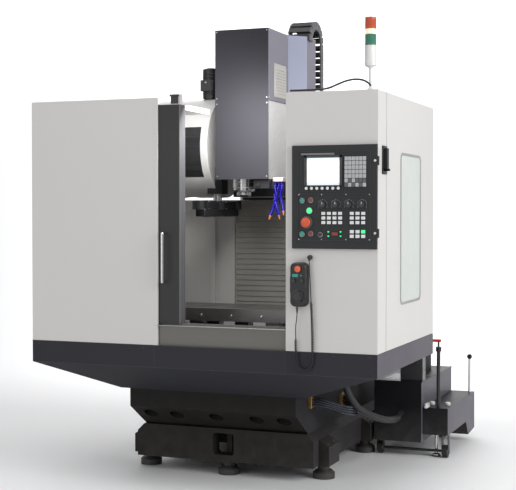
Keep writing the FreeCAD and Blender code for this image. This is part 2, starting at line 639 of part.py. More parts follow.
# ---------------------------------------------------------------------------
# Sliding door
# ---------------------------------------------------------------------------
def door():
    """Leaf with a window, dark stile, roof plate and grab handle."""
    wall, span = S.door_wall, (S.door_low, S.door_high)
    middle = -(S.door_front + S.door_back) / 2
    groove = ((-S.door_left - 1, -S.door_right + 1), around(middle, S.track_half + 1),
              (S.door_low - 1, S.sill_top + S.track_height + 2))
    leaf_y = (-S.door_front, -S.door_back)
    leaf = box((-S.door_left, -S.stile_left), leaf_y, span)
    hollow = box((-S.door_left + wall, -S.stile_left - wall),
                 (-S.door_front + wall, -S.door_back + 1),
                 (S.door_low + wall * 5, S.door_high - wall))
    pane_x, pane_z = (-S.door_pane_left, -S.door_pane_right), (S.door_pane_low, S.door_pane_high)
    pane_hole = slab("XZ", pane_x, pane_z, S.pane_corner, (-S.door_front - 1,
                                                          -S.door_front + wall + 1))
    panel = cut(leaf, hollow, pane_hole, box(*groove))
    pane = slab("XZ", (pane_x[0] - 20, pane_x[1] + 20), (pane_z[0] - 20, pane_z[1] + 20),
                S.pane_corner, (-S.door_front + wall, -S.door_front + wall + S.pane_thickness))
    node("door_window", pane)
    stile = box((-S.stile_left, -S.door_right), (-S.door_front, -S.stile_back), span)
    core = box((-S.stile_left + wall, -S.door_right - wall),
               (-S.door_front + wall, -S.stile_back - wall),
               (S.door_low + wall * 5, S.door_high - wall))
    side_slot = box((-S.stile_left - 1, -S.stile_left + wall + 1), (-S.door_back + wall,
                    -S.stile_back - wall), (S.door_low + wall * 5, S.door_high - wall))
    node("door_stile", cut(stile, core, side_slot, box(*groove)))
    roof_x = (-S.door_left, -S.door_right)
    plate = box(roof_x, (-S.door_front, -S.roof_back), (S.door_high, S.door_high + wall))
    lips = [box((-S.door_right - wall, -S.door_right), (-S.stile_back, -S.roof_back),
                (S.door_high - S.roof_lip, S.door_high)),
            box(roof_x, (-S.roof_back - wall, -S.roof_back),
                (S.door_high - S.roof_lip, S.door_high))]
    bracket = box((-S.door_right - 55, -S.door_right - 5), (-S.door_front + 20, -S.door_front + 50),
                  (S.door_high + wall, S.door_high + 55))
    node("door_leaf", fuse(panel, plate, bracket, *lips))
    grip_y = -S.door_front - S.handle_reach
    bar = rod("Z", (-S.handle_x, grip_y), S.handle_radius, (S.handle_low, S.handle_high))
    posts = [rod("Y", (-S.handle_x, z), S.handle_radius, (grip_y, -S.door_front))
             for z in (S.handle_low, S.handle_high)]
    knuckles = [ball((-S.handle_x, grip_y, z), S.handle_radius)
                for z in (S.handle_low, S.handle_high)]
    node("door_handle", fuse(bar, *posts, *knuckles))


# ---------------------------------------------------------------------------
# Saddle, table and their drives
# ---------------------------------------------------------------------------
def saddle():
    """Cross slide with bearing blocks under it, a screw trough and screw bearings on top."""
    slab_block = box(around(0, S.saddle_half), around(CROSS, S.saddle_half_depth),
                     (S.saddle_low, S.saddle_top))
    end = S.saddle_half - S.bearing_block
    trough = box(around(0, end), around(CROSS, S.nut_half + 7),
                 (S.saddle_top - S.screw_trough, S.saddle_top + 1))
    blocks = [box(tuple(sorted((side * end, side * S.saddle_half), key=lambda s: s.value)),
                  around(CROSS, S.nut_half), (S.saddle_top, S.cross_screw + 26))
              for side in (-1, 1)]
    bore = rod("X", (CROSS, S.cross_screw), S.screw_radius + S.screw_fit,
               around(0, S.saddle_half + 1))
    half, gap = S.rail_width / 2, S.rail_gap
    shoes = []
    for x in (-S.bed_rail, S.bed_rail):
        for y in (CROSS - S.saddle_half_depth + 20,
                  CROSS + S.saddle_half_depth - 20 - S.carriage_length):
            shoe = box(around(x, half + S.carriage_wall), (y, y + S.carriage_length),
                       (S.bed_top + 2, S.saddle_low))
            channel = box(around(x, half + gap), (y - 1, y + S.carriage_length + 1),
                          (S.bed_top, S.bed_top + S.bed_rail_height + gap))
            shoes.append(cut(shoe, channel))
    nut = cut(box(around(0, S.nut_half), around(CROSS, S.nut_half_length),
                  (S.bed_screw - 32, S.saddle_low)),
              rod("Y", (0, S.bed_screw), S.screw_radius + S.screw_fit,
                  around(CROSS, S.nut_half_length + 1)))
    rails = [box(around(0, S.saddle_half), around(CROSS + offset, half),
                 (S.saddle_top, S.saddle_top + S.table_rail_height))
             for offset in (-S.table_rail, S.table_rail)]
    motor = box((S.saddle_half, S.saddle_half + S.axis_motor_length),
                around(CROSS, S.axis_motor_half), around(S.cross_screw, S.axis_motor_half))
    return node("saddle", fuse(cut(fuse(slab_block, *blocks), trough, bore), motor, nut,
                               *shoes, *rails))


def table():
    """Table with three T-slots, on its own bearing blocks and screw nut."""
    body = padded_body("XY", rectangle(around(0, S.table_half), around(CROSS, S.table_half_depth)),
                       (S.table_low, S.table_top))
    neck = S.table_top - S.slot_neck
    for offset in (-S.slot_pitch, as_size(0), S.slot_pitch):
        middle = CROSS + offset
        mouth, foot = S.slot_mouth / 2, S.slot_width / 2
        pocket(body, "YZ", [
            (middle - foot, neck - S.slot_height), (middle + foot, neck - S.slot_height),
            (middle + foot, neck), (middle + mouth, neck), (middle + mouth, S.table_top + 1),
            (middle - mouth, S.table_top + 1), (middle - mouth, neck), (middle - foot, neck)],
            around(0, S.table_half + 1))
    half, gap = S.rail_width / 2, S.rail_gap
    shoes = []
    for offset in (-S.table_rail, S.table_rail):
        for x in (-S.saddle_half / 2 - S.carriage_length, S.saddle_half / 2):
            shoe = box((x, x + S.carriage_length), around(CROSS + offset, half + S.carriage_wall),
                       (S.saddle_top + 3, S.table_low))
            channel = box((x - 1, x + S.carriage_length + 1), around(CROSS + offset, half + gap),
                          (S.saddle_top, S.saddle_top + S.table_rail_height + gap))
            shoes.append(cut(shoe, channel))
    nut = cut(box(around(0, S.nut_half_length), around(CROSS, S.nut_half),
                  (S.cross_screw - 32, S.table_low)),
              rod("X", (CROSS, S.cross_screw), S.screw_radius + S.screw_fit,
                  around(0, S.nut_half_length + 1)))
    return node("table", fuse(body, nut, *shoes))


def ball_screws():
    """Ball screws of the three axes; each turns in its bearings and through its nut."""
    node("table_screw", rod("X", (CROSS, S.cross_screw), S.screw_radius,
                            around(0, S.saddle_half - 0.5)))
    node("saddle_screw", rod("Y", (0, S.bed_screw), S.screw_radius,
                             (-S.bed_front + 0.5, S.apron_front - 20)))
    node("head_screw", rod("Z", (0, S.head_screw_back), S.screw_radius,
                           (S.apron_top + 2, S.column_top + 3)))


def axis_motors():
    """Servo motors of the bed and head screws, screw bearings and the head belt cover."""
    half = S.axis_motor_half
    front_motor = box(around(0, half), (-S.bed_front - S.axis_motor_length, -S.bed_front),
                      around(S.bed_screw, half))
    bearing_fit = S.screw_radius + S.screw_fit
    bearings = [cut(box(around(0, S.bed_trough_half), (y, y + S.bearing_block),
                        (S.bed_trough, S.bed_screw + 22)),
                    rod("Y", (0, S.bed_screw), bearing_fit, (y - 1, y + S.bearing_block + 1)))
                for y in (-S.bed_front + 5, S.apron_front - 40)]
    belt_z = (S.column_top + 5, S.column_top + 60)
    belt = fuse(box(around(0, 60), (S.head_screw_back - 30, S.column_front + 250), belt_z),
                box(around(0, 60), (S.column_front + 20, S.column_front + 250),
                    (S.column_top, S.column_top + 6)))
    head_motor = box(around(0, half), around(S.column_front + 180, half),
                     (S.column_top + 60, S.column_top + 250))
    return node("axis_motors", group(front_motor, *bearings, fuse(belt, head_motor)))


def way_covers():
    """Telescopic covers over the bed before and behind the saddle, and the slatted column cover."""
    wall = 2
    for name, span in (("way_cover_front", (-S.bed_front, CROSS - S.saddle_half_depth - 1)),
                       ("way_cover_rear", (CROSS + S.saddle_half_depth + 1, S.apron_front - 1))):
        outer = box(around(0, S.way_cover_half), span, (S.way_cover_low, S.way_cover_top))
        inner = box(around(0, S.way_cover_half - wall), (span[0] - 1, span[1] + 1),
                    (S.way_cover_low - 1, S.way_cover_top - wall))
        node(name, cut(outer, inner))
    node("slat_cover", box(around(0, S.slat_half), (S.apron_front, S.apron_front + S.slat_thickness),
                           (S.apron_top, S.slat_top)))


# ---------------------------------------------------------------------------
# Head and spindle
# ---------------------------------------------------------------------------
def head():
    """Head casting on its carriages, sheet cover, spindle cartridge, motor and nozzles."""
    profile = [(-S.head_front, S.head_low), (-S.heel_front, S.head_low),
               (-S.heel_front, S.head_heel), (S.head_back, S.head_heel),
               (S.head_back, S.head_top), (-S.head_front, S.head_top)]
    block = prism("YZ", profile, (-S.head_left, S.head_right))
    lip = box(around(0, S.lip_half), (S.head_back, S.apron_front + S.slat_thickness),
              (S.lip_low, S.head_heel))
    heel = box(around(0, S.lip_half), (S.head_back - S.back_plate, S.head_back),
               (S.lip_low, S.head_heel))
    cartridge_hole = rod("Z", (0, CROSS), S.nose_radius, (S.head_low - 1, S.nose_high))
    shaft_hole = rod("Z", (0, CROSS), S.spindle_radius + 5, (S.head_low - 1, S.head_top + 1))
    casting = cut(fuse(block, lip, heel), cartridge_hole, shaft_hole)
    half, gap = S.rail_width / 2, S.rail_gap
    shoes = []
    for x in (-S.column_rail, S.column_rail):
        for z in (S.head_heel + 40, S.head_top - S.carriage_length - 60):
            shoe = box(around(x, half + S.carriage_wall), (S.head_back, S.column_front - 2),
                       (z, z + S.carriage_length))
            channel = box(around(x, half + gap),
                          (S.column_front - S.column_rail_height - gap, S.column_front),
                          (z - 1, z + S.carriage_length + 1))
            shoes.append(cut(shoe, channel))
    middle = (S.head_heel + S.head_top) / 2
    nut = cut(box(around(0, S.nut_half), (S.head_back, S.column_front - 2),
                  around(middle, S.nut_half_length)),
              rod("Z", (0, S.head_screw_back), S.screw_radius + S.screw_fit,
                  around(middle, S.nut_half_length + 1)))
    back = box(around(0, S.column_rail + half + S.carriage_wall),
               (S.head_back - S.back_plate, S.head_back), (S.head_heel, S.head_top))
    node("head_casting", fuse(casting, back, nut, *shoes))

    wall = S.cover_sheet
    plan = [(-S.cover_left, -S.head_front - wall), (S.cover_right, -S.head_front - wall),
            (S.cover_right, -S.cover_shoulder), (S.cover_wide, -S.cover_wide_front),
            (S.cover_wide, S.cover_back), (S.cover_right, S.cover_back),
            (S.cover_right, S.head_back), (-S.cover_left, S.head_back)]
    room = [(-S.cover_left + wall, -S.head_front), (S.cover_right - wall, -S.head_front),
            (S.cover_right - wall, -S.cover_shoulder + wall),
            (S.cover_wide - wall, -S.cover_wide_front + wall),
            (S.cover_wide - wall, S.cover_back + 1), (-S.cover_left + wall, S.cover_back + 1)]
    hood = cut(prism("XY", plan, (S.head_top, S.cover_top)),
               prism("XY", room, (S.head_top - 1, S.cover_top - wall)))
    face = box((-S.cover_left, S.cover_right), (-S.head_front - wall, -S.head_front),
               (S.head_low, S.head_top))
    node("head_cover", fuse(hood, face))

    nose = [(S.spindle_radius + S.screw_fit, S.nose_low), (S.nose_radius - 8, S.nose_low),
            (S.nose_radius, S.nose_low + 8), (S.nose_radius, S.nose_high),
            (S.spindle_radius + S.screw_fit, S.nose_high)]
    node("spindle_cartridge", turned(nose, (0, CROSS, 0)))
    node("spindle_motor", slab("XY", around(0, S.spindle_motor_half),
                               around(CROSS, S.spindle_motor_half - 2), S.screw_radius,
                               (S.head_top, S.head_top + S.spindle_motor_height)))
    manifold = box((S.head_right, S.head_right + 62), around(CROSS, 25),
                   (S.head_low - 18, S.head_low + 9))
    hoses = []
    for index, (drop_x, tip_z) in enumerate(((-34, 1395), (0, 1398), (8, 1420))):
        start = S.head_right + 14 + index * 17
        hoses.append(nozzle(start, drop_x, tip_z))
    node("coolant_nozzles", fuse(manifold, *hoses))


def nozzle(start, lean, tip):
    """Segmented coolant hose: balls and cups that hang in a shallow curve."""
    top = S.head_low - 18
    count = 9
    links = []
    for index in range(count + 1):
        share = index / count
        x = start + lean * share * share
        z = top + (tip - top.value) * share
        links.append(ball((x, CROSS - 6 * share, z), 8.5 - 3.5 * (index == count)))
        if index:
            before = x_before
            links.append(rod("Z", (before, CROSS - 6 * share), 7, (z, z_before)))
        x_before, z_before = x, z
    return fuse(*links)


def spindle():
    """Spindle shaft with its tool taper and draw-bar bore."""
    profile = [
        (S.taper_mouth, S.spindle_low), (S.spindle_lip, S.spindle_low),
        (S.spindle_lip, S.spindle_low + S.spindle_lip_height),
        (S.spindle_radius, S.spindle_low + S.spindle_lip_height), (S.spindle_radius, S.nose_high),
        (S.spindle_neck, S.nose_high), (S.spindle_neck, S.spindle_top), (0, S.spindle_top),
        (0, S.spindle_low + S.drawbar_depth), (S.taper_end, S.spindle_low + S.drawbar_depth),
        (S.taper_end, S.spindle_low + S.taper_length)]
    return node("spindle", turned(profile, (0, CROSS, 0)))


# ---------------------------------------------------------------------------
# Tool changer
# ---------------------------------------------------------------------------
def tool_changer():
    """Drum cover, cam box, motors, tool disc, tilting pot and the exchange arm."""
    axis = (-S.drum_back, S.drum_height)
    wall = S.drum_sheet
    drum = rod("X", axis, S.drum_radius, (-S.drum_left, -S.drum_right))
    room = rod("X", axis, S.drum_radius - wall, (-S.drum_left + wall, -S.drum_right - wall))
    front_window = box((-S.drum_window_left, -S.drum_window_right),
                       (-S.drum_back - S.drum_radius - 10, -S.drum_back - S.drum_radius / 3),
                       (S.drum_window_low, S.drum_window_high))
    tool_hole = rod("Z", (-S.pot_centre, -S.drum_back), S.tool_hole,
                    (S.drum_height - S.drum_radius - 10, S.drum_height - S.drum_radius + 60))
    gap = 2
    bracket_x = (-S.cam_left, -S.column_half)
    bracket_hole = box((bracket_x[0] - gap, bracket_x[1]), (S.cam_back, -S.drum_back
                       + S.drum_radius + 10), (S.arm_bracket_low - gap, S.arm_bracket_high + gap))
    nose_x = around(-S.arm_x, S.claw_radius)
    nose_y = around(-S.arm_y, S.claw_radius)
    nose_hole = box((nose_x[0] - gap, nose_x[1]), (nose_y[0] - gap, nose_y[1] + gap),
                    (S.drum_height - S.drum_radius - 10, S.arm_nose_top + gap))
    motor_hole = rod("Z", (-S.cam_motor_x, -S.drum_back), S.cam_motor_radius - 5,
                     (S.cam_high, S.drum_height + S.drum_radius + 10))
    shaft_hole = rod("X", axis, S.disc_shaft + gap, (-S.drum_left - 1, -S.drum_left + 2 * wall))
    node("drum_cover", cut(drum, room, front_window, tool_hole, bracket_hole, nose_hole,
                           motor_hole, shaft_hole))

    cam = box((-S.cam_left, -S.drum_right - wall), (-S.cam_front, -S.cam_back),
              (S.cam_low, S.cam_high))
    bracket = box((-S.cam_left, -S.drum_right - wall), (-S.cam_back, S.arm_bracket_rear),
                  (S.arm_bracket_low, S.arm_bracket_high))
    foot = box(bracket_x, (-S.drum_back + S.drum_radius + 5, S.arm_bracket_rear),
               (S.arm_bracket_low, S.arm_bracket_high))
    nose = box(nose_x, nose_y, (S.arm_nose_low, S.arm_nose_top))
    shaft_bore = rod("Z", (-S.arm_x, -S.arm_y), S.arm_shaft_radius + S.screw_fit,
                     (S.arm_nose_low - 1, S.arm_nose_top - 5))
    housing = cut(fuse(cam, bracket, foot, nose), shaft_bore)

    cam_motor = fuse(rod("Z", (-S.cam_motor_x, -S.drum_back), S.cam_motor_radius - 8,
                         (S.cam_high, S.cam_motor_low)),
                     rod("Z", (-S.cam_motor_x, -S.drum_back), S.cam_motor_radius,
                         (S.cam_motor_low, S.cam_motor_top)))
    disc_motor = rod("X", axis, S.disc_motor_radius,
                     (-S.drum_left - S.disc_motor_length, -S.drum_left))
    node("cam_box", group(fuse(housing, cam_motor), disc_motor))

    plate = rod("X", axis, S.disc_radius, (-S.disc_left, -S.disc_left + S.disc_plate))
    shaft = rod("X", axis, S.disc_shaft, (-S.drum_left + 0.5, -S.cam_left - 1))
    pot_x = around(-S.pot_centre, S.pot_length / 2)
    pots = []
    step = 2 * math.pi / S.pot_count.value
    for index in range(1, int(S.pot_count.value)):
        angle = index * step
        y = -S.drum_back + S.pot_pitch * math.sin(angle)
        z = S.drum_height - S.pot_pitch * math.cos(angle)
        pots.append(cut(fuse(rod("X", (y, z), S.pot_radius, pot_x),
                             rod("X", (y, z), S.pot_radius / 2, (pot_x[1], -S.disc_left))),
                        rod("X", (y, z), S.pot_bore, (pot_x[0] - 1, pot_x[1] - 12))))
    low = S.drum_height - S.pot_pitch
    inner = S.pot_radius + S.ear_gap
    ears = [box((-S.pot_centre - 15, -S.disc_left), span, around(low, 10))
            for span in ((-S.drum_back + inner, -S.drum_back + inner + S.ear),
                         (-S.drum_back - inner - S.ear, -S.drum_back - inner))]
    node("tool_disc", fuse(plate, shaft, *pots, *ears))
    node("tilting_pot", cut(rod("X", (-S.drum_back, low), S.pot_radius, pot_x),
                            rod("X", (-S.drum_back, low), S.pot_bore,
                                (pot_x[0] - 1, pot_x[1] - 12))))

    shaft_top = S.arm_nose_top - 10
    node("arm_shaft", rod("Z", (-S.arm_x, -S.arm_y), S.arm_shaft_radius,
                          (S.arm_high + 0.5, shaft_top)))
    bar = box(around(-S.arm_x, S.arm_bar_half), around(-S.arm_y, S.arm_reach), (S.arm_low + 8,
              S.arm_high - 8))
    hub = rod("Z", (-S.arm_x, -S.arm_y), S.claw_radius, (S.arm_low, S.arm_high))
    claws, mouths = [], []
    for side in (-1, 1):
        y = -S.arm_y + side * S.arm_reach
        claws.append(rod("Z", (-S.arm_x, y), S.claw_radius, (S.arm_low, S.arm_high)))
        mouths.append(rod("Z", (-S.arm_x, y), S.claw_bore, (S.arm_low - 1, S.arm_high + 1)))
        reach = (-S.arm_x, -S.arm_x - side * (S.claw_radius + 10))
        mouths.append(box(tuple(sorted(reach, key=lambda s: s.value)),
                          around(y, S.claw_bore - 6), (S.arm_low - 1, S.arm_high + 1)))
    node("exchange_arm", cut(fuse(bar, hub, *claws), *mouths))


def cable_carrier():
    """Cable carrier that arches from the column's top to the head cover."""
    span = (S.chain_left, S.chain_right)
    centre = (S.chain_back, S.chain_height)
    arch = cut(rod("X", centre, S.chain_outer, span),
               rod("X", centre, S.chain_inner, (span[0] - 1, span[1] + 1)),
               box((span[0] - 1, span[1] + 1), (S.chain_back, S.chain_back + S.chain_outer + 1),
                   (S.chain_height - S.chain_outer - 1, S.chain_height)),
               box((span[0] - 1, span[1] + 1), (S.chain_back - S.chain_outer - 1, S.chain_back),
                   (S.chain_height - S.chain_outer - 1, S.cover_top + 2)))
    leg = box(span, (S.chain_back + S.chain_inner, S.chain_back + S.chain_outer),
              (S.column_top, S.chain_height))
    return node("cable_carrier", fuse(arch, leg))


# ---------------------------------------------------------------------------
# Operator panel, pendant and signal tower
# ---------------------------------------------------------------------------
def operator_panel():
    """Swing-out control box with its screen, keys, dials and buttons."""
    face = -S.front - S.panel_proud
    flange = box((S.panel_left, S.half_width), (face, -S.front - S.panel_flange_gap),
                 (S.panel_low, S.panel_high))
    margin = S.panel_box_margin
    rear = box((S.panel_box_left, S.panel_box_right), (-S.front - S.panel_flange_gap,
               -S.panel_box_back), (S.panel_low + margin, S.panel_high - margin))
    screen_hole = box((S.screen_left, S.screen_right), (face - 1, face + 4),
                      (S.screen_low, S.screen_high))
    stems = [rod("Y", place, radius + 0.5, (face - 1, face + 12)) for place, radius in (
        ((S.estop_x, S.estop_z), S.estop_stem), ((S.start_x, S.start_z), S.start_radius))]
    stems += [rod("Y", (S.dial_first + index * S.dial_pitch, S.dial_z), S.dial_stem + 0.5,
                  (face - 1, face + 12)) for index in range(4)]
    latches = [box((S.half_width - 6, S.half_width + 8), (face, -S.front - S.panel_flange_gap),
                   around(z, 22)) for z in (S.latch_z_low, S.latch_z_high)]
    keys = panel_key_blocks(face)
    node("panel_box", cut(fuse(flange, rear, *latches, *keys), screen_hole, *stems))
    push = face + 12 - S.button_gap
    node("estop_button", fuse(rod("Y", (S.estop_x, S.estop_z), S.estop_radius,
                                  (face - S.estop_height, face - 12)),
                              rod("Y", (S.estop_x, S.estop_z), S.estop_stem, (face - 12, face + 4))))
    node("start_button", rod("Y", (S.start_x, S.start_z), S.start_radius,
                             (face - S.start_height, push - 8)))
    for index in range(4):
        x = S.dial_first + index * S.dial_pitch
        node("dial_%d" % (index + 1), fuse(
            rod("Y", (x, S.dial_z), S.dial_radius, (face - S.dial_height, face - S.button_gap)),
            rod("Y", (x, S.dial_z), S.dial_stem, (face - S.button_gap, push))))


def panel_key_blocks(face):
    """Membrane key blocks: soft keys, data keys and three groups of mode keys."""
    keys = []

    def grid(left, low, columns, rows, pitch, row_pitch, width, height):
        for column in range(columns):
            for row in range(rows):
                x, z = left + column * pitch, low + row * row_pitch
                keys.append(box((x, x + width), (face - S.key_height, face), (z, z + height)))

    grid(S.soft_key_first, S.soft_key_low, 7, 1, S.soft_key_pitch, 0, S.soft_key, S.soft_key)
    grid(S.data_key_first, S.data_key_low, 6, 7, S.data_key_pitch, S.data_key_row,
         S.data_key_width, S.data_key_height)
    mode = (S.mode_key_pitch, S.mode_key_row, S.mode_key_width, S.mode_key_height)
    grid(S.mode_key_first, S.mode_key_low, 4, 3, *mode)
    grid(S.jog_key_first, S.mode_key_low, 3, 3, *mode)
    grid(S.jog_key_first, S.jog_key_low, 3, 2, *mode)
    return keys


def signal_tower():
    """Pole, white body and stacked lamp lenses."""
    at = (S.tower_x, -S.tower_y)
    base = rod("Z", at, S.tower_radius, (S.guard_top, S.guard_top + 6))
    pole = rod("Z", at, S.tower_pole, (S.guard_top, S.tower_pole_top))
    shell = rod("Z", at, S.tower_radius, (S.tower_pole_top, S.tower_body_top))
    node("signal_tower", fuse(base, pole, shell))
    lenses = [rod("Z", at, S.tower_radius - inset, span) for inset, span in (
        (1, (S.tower_body_top, S.tower_green_top)), (0, (S.tower_green_top, S.tower_ring_top)),
        (1, (S.tower_ring_top, S.tower_red_top)))]
    node("tower_lenses", group(*lenses))


def pendant():
    """Hand-held pulse pendant on the guard, its handwheel, gland and leads."""
    front = -S.front - S.pendant_thickness
    shell = slab("XZ", (S.pendant_left, S.pendant_right), (S.pendant_low, S.pendant_high),
                 S.pendant_corner, (front, -S.front))
    stem = rod("Y", (S.wheel_x, S.wheel_z), S.wheel_stem + 0.5, (front - 1, front + 12))
    knob = fuse(rod("Y", (S.wheel_x, S.pendant_high - 34), 16, (front - 16, front - 6)),
                rod("Y", (S.wheel_x, S.pendant_high - 34), 9, (front - 6, front)))
    node("pendant_body", cut(fuse(shell, knob), stem))
    node("pendant_wheel", fuse(
        rod("Y", (S.wheel_x, S.wheel_z), S.wheel_radius, (front - S.wheel_height, front - 0.5)),
        rod("Y", (S.wheel_x, S.wheel_z), S.wheel_stem, (front - 0.5, front + 11))))
    node("pendant_gland", fuse(
        rod("Y", (S.gland_x, S.gland_z), S.gland_radius, (-S.front - 12, -S.front)),
        ball((S.gland_x, -S.front - 20, S.gland_z), S.gland_radius),
        rod("Z", (S.gland_x, -S.front - 20), S.gland_radius / 2,
            (S.gland_z - S.gland_radius - 6, S.gland_z))))


# Routes that the leads and hoses take, from one fixing to the other.
LEAD_DOWN = [(628, -1035, 1198), (628, -1036, 1150), (634, -1038, 1095), (636, -1038, 1045),
             (638, -1036, 1000)]
CURL = [(638, -1036, 1000), (641, -1036, 945), (643, -1034, 890), (644, -1032, 835),
        (644, -1030, 782), (643, -1029, 728), (640, -1028, 680), (618, -1028, 653),
        (586, -1028, 653), (563, -1030, 678), (559, -1032, 722), (557, -1034, 767),
        (558, -1036, 813)]
LEAD_UP = [(558, -1036, 813), (556, -1038, 865), (566, -1040, 917), (566, -1040, 968)]
TOP_CABLE = [(508, -984, 2046), (566, -986, 2045), (624, -984, 2046), (672, -985, 2045),
             (716, -985, 2052), (752, -985, 2066), (792, -985, 2081), (835, -985, 2090),
             (876, -984, 2088), (910, -976, 2074), (922, -966, 2056)]
DRAIN_HOSE = [(640, -470, 505), (650, -440, 440), (690, -370, 360), (760, -250, 300),
              (800, -110, 270), (800, 40, 262), (762, 140, 258), (762, 230, 258)]


def cords():
    """Leads and hoses that the machine holds at both ends."""
    cord("pendant_lead_upper", LEAD_DOWN, S.lead_radius)
    cord("pendant_curl", CURL, S.curl_radius)
    cord("pendant_lead_lower", LEAD_UP, S.lead_radius)
    cord("top_cable", TOP_CABLE, S.cable_radius)
    cord("drain_hose", DRAIN_HOSE, S.drain_radius)


# ---------------------------------------------------------------------------
# Cabinet, coolant tank and lubricator
# ---------------------------------------------------------------------------
def electrical_cabinet():
    """Steel cabinet on the column's back and its hinged rear door."""
    wall, lip = S.cabinet_sheet, S.cabinet_lip
    back = S.column_rear + S.cabinet_depth
    x, z = around(0, S.cabinet_half), (S.cabinet_low, S.cabinet_high)
    shell = box(x, (S.column_rear, back), z)
    room = box(around(0, S.cabinet_half - wall), (S.column_rear + wall, back - wall),
               (z[0] + wall, z[1] - wall))
    mouth = box(around(0, S.cabinet_half - lip), (back - wall - 1, back + 1),
                (z[0] + lip, z[1] - lip))
    node("electrical_cabinet", cut(shell, room, mouth))
    door_y = (back + 1, back + 1 + S.cabinet_door)
    leaf = box((x[0] + 1, x[1] - 1), door_y, (z[0] + 1, z[1] - 1))
    pan = box((x[0] + 1 + wall, x[1] - 1 - wall), (back, back + S.cabinet_door - wall + 1),
              (z[0] + 1 + wall, z[1] - 1 - wall))
    knob_z = (S.cabinet_low + S.cabinet_high) / 2
    turn = box(around(S.cabinet_half - 60, 14), (door_y[1], S.rear_reach), around(knob_z, 60))
    switch = rod("Y", (S.cabinet_half - 140, S.cabinet_high - 200), 34,
                 (door_y[1], S.rear_reach - 4))
    node("cabinet_door", fuse(cut(leaf, pan), turn, switch))


def coolant_tank():
    """Two-part coolant tank on an axle and feet, with its deck, pump and fittings."""
    wall = S.tank_sheet
    main = cut(box((S.tank_left, S.tank_middle), (S.tank_front, S.tank_rear),
                   (S.tank_low, S.tank_top)),
               box((S.tank_left + wall, S.tank_middle - wall),
                   (S.tank_front + wall, S.tank_rear - wall), (S.tank_low + wall, S.tank_top + 1)))
    lower = box((S.tank_middle, S.tank_right), (S.side_tank_front, S.tank_rear),
                (S.side_tank_low, S.side_tank_top))
    step = prism("YZ", [(S.tank_rear - 260, S.side_tank_low), (S.tank_rear, S.side_tank_low),
                        (S.tank_rear, 60), (S.tank_rear - 190, 45)],
                 (S.tank_middle, S.tank_right))
    ear_y = around(S.tank_wheel_y, 18)
    ears = [box((x0, x0 + 5), ear_y, (S.tank_wheel_radius - 16, top)) for x0, top in (
        (S.tank_left, S.tank_low + 1), (S.tank_left + 5 + S.tank_wheel_width + 4, S.tank_low + 1),
        (S.tank_right - 9 - S.tank_wheel_width - 5, S.side_tank_low + 1),
        (S.tank_right - 5, S.side_tank_low + 1))]
    axle_hole = rod("X", (S.tank_wheel_y, S.tank_wheel_radius), S.tank_axle + S.screw_fit,
                    (S.tank_left - 1, S.tank_right + 1))
    feet = [rod("Z", (x0, S.tank_rear - 60), S.tank_foot_radius, (0, S.tank_low + 1))
            for x0 in (S.tank_left + 50, S.tank_middle - 50)]
    chrome = rod("Z", (S.tank_middle + 70, S.side_tank_front + 60), 9,
                 (0, S.side_tank_low + 1))
    pad = rod("Z", (S.tank_middle + 70, S.side_tank_front + 60), 26, (0, 10))
    deck = box((S.tank_left, S.tank_middle), (S.tank_front, S.tank_rear),
               (S.tank_top, S.tank_top + wall))
    hatch_y = S.tank_front + S.hatch_start
    hole = box((S.tank_left + S.hatch_margin, S.tank_middle - S.hatch_margin),
               (hatch_y, hatch_y + S.hatch_length), (S.tank_top - 1, S.tank_top + wall + 1))
    sump = rod("Z", (S.pump_x, S.pump_y), S.pump_radius - 14, (S.tank_top - 1,
                                                              S.tank_top + wall + 1))
    handle = fuse(rod("Z", (S.tank_right - 20, S.tank_rear - 60), 7, (S.side_tank_top - 1, 520)),
                  ball((S.tank_right - 20, S.tank_rear - 60, 520), 16))
    node("coolant_tank", cut(fuse(main, deck, lower, step, chrome, pad, handle, *ears, *feet),
                             axle_hole, hole, sump))
    top = S.tank_top + wall
    node("coolant_pump", fuse(
        rod("Z", (S.pump_x, S.pump_y), S.pump_radius, (top, top + S.pump_height)),
        rod("Z", (S.pump_x, S.pump_y), S.pump_radius - 16, (S.tank_low + 60, top))))
    node("tank_wheels", fuse(
        rod("X", (S.tank_wheel_y, S.tank_wheel_radius), S.tank_axle,
            (S.tank_left, S.tank_right)),
        *[rod("X", (S.tank_wheel_y, S.tank_wheel_radius), S.tank_wheel_radius,
              (x0, x0 + S.tank_wheel_width)) for x0 in (
            S.tank_left + 5 + 2, S.tank_right - 5 - 2 - S.tank_wheel_width)]))
    switch_box = box((S.switch_left, S.switch_left + S.switch_width),
                     (S.side_tank_front, S.side_tank_front + S.switch_depth),
                     (S.tank_top + wall, S.switch_top))
    valve_at = (S.riser_x, S.tank_wheel_y)
    riser = fuse(rod("Z", valve_at, S.conduit_radius, (S.side_tank_top, S.riser_top)),
                 rod("Z", valve_at, S.conduit_radius * 1.5, (S.riser_top, S.riser_top + 27)),
                 rod("Z", valve_at, S.conduit_radius / 2, (S.riser_top + 27, S.riser_top + 60)),
                 rod("X", (S.tank_wheel_y, S.riser_top + 63), 8,
                     (S.riser_x - 34, S.riser_x + 14)))
    node("tank_fittings", group(switch_box, riser))


def lubricator():
    """Way-oil unit and air regulator behind the left guard."""
    x = (-S.side_reach, -S.side_reach + S.lube_depth)
    y = (REAR, REAR + S.lube_thickness)
    tank = box(x, y, (S.lube_low, S.lube_high))
    cap = rod("Z", (-S.side_reach + 50, REAR + 60), 26, (S.lube_high, S.lube_high + 22))
    gauge = rod("Z", (-S.side_reach + 105, REAR + 60), 30, (S.lube_high, S.lube_high + 90))
    return node("lubricator", fuse(tank, cap, gauge))


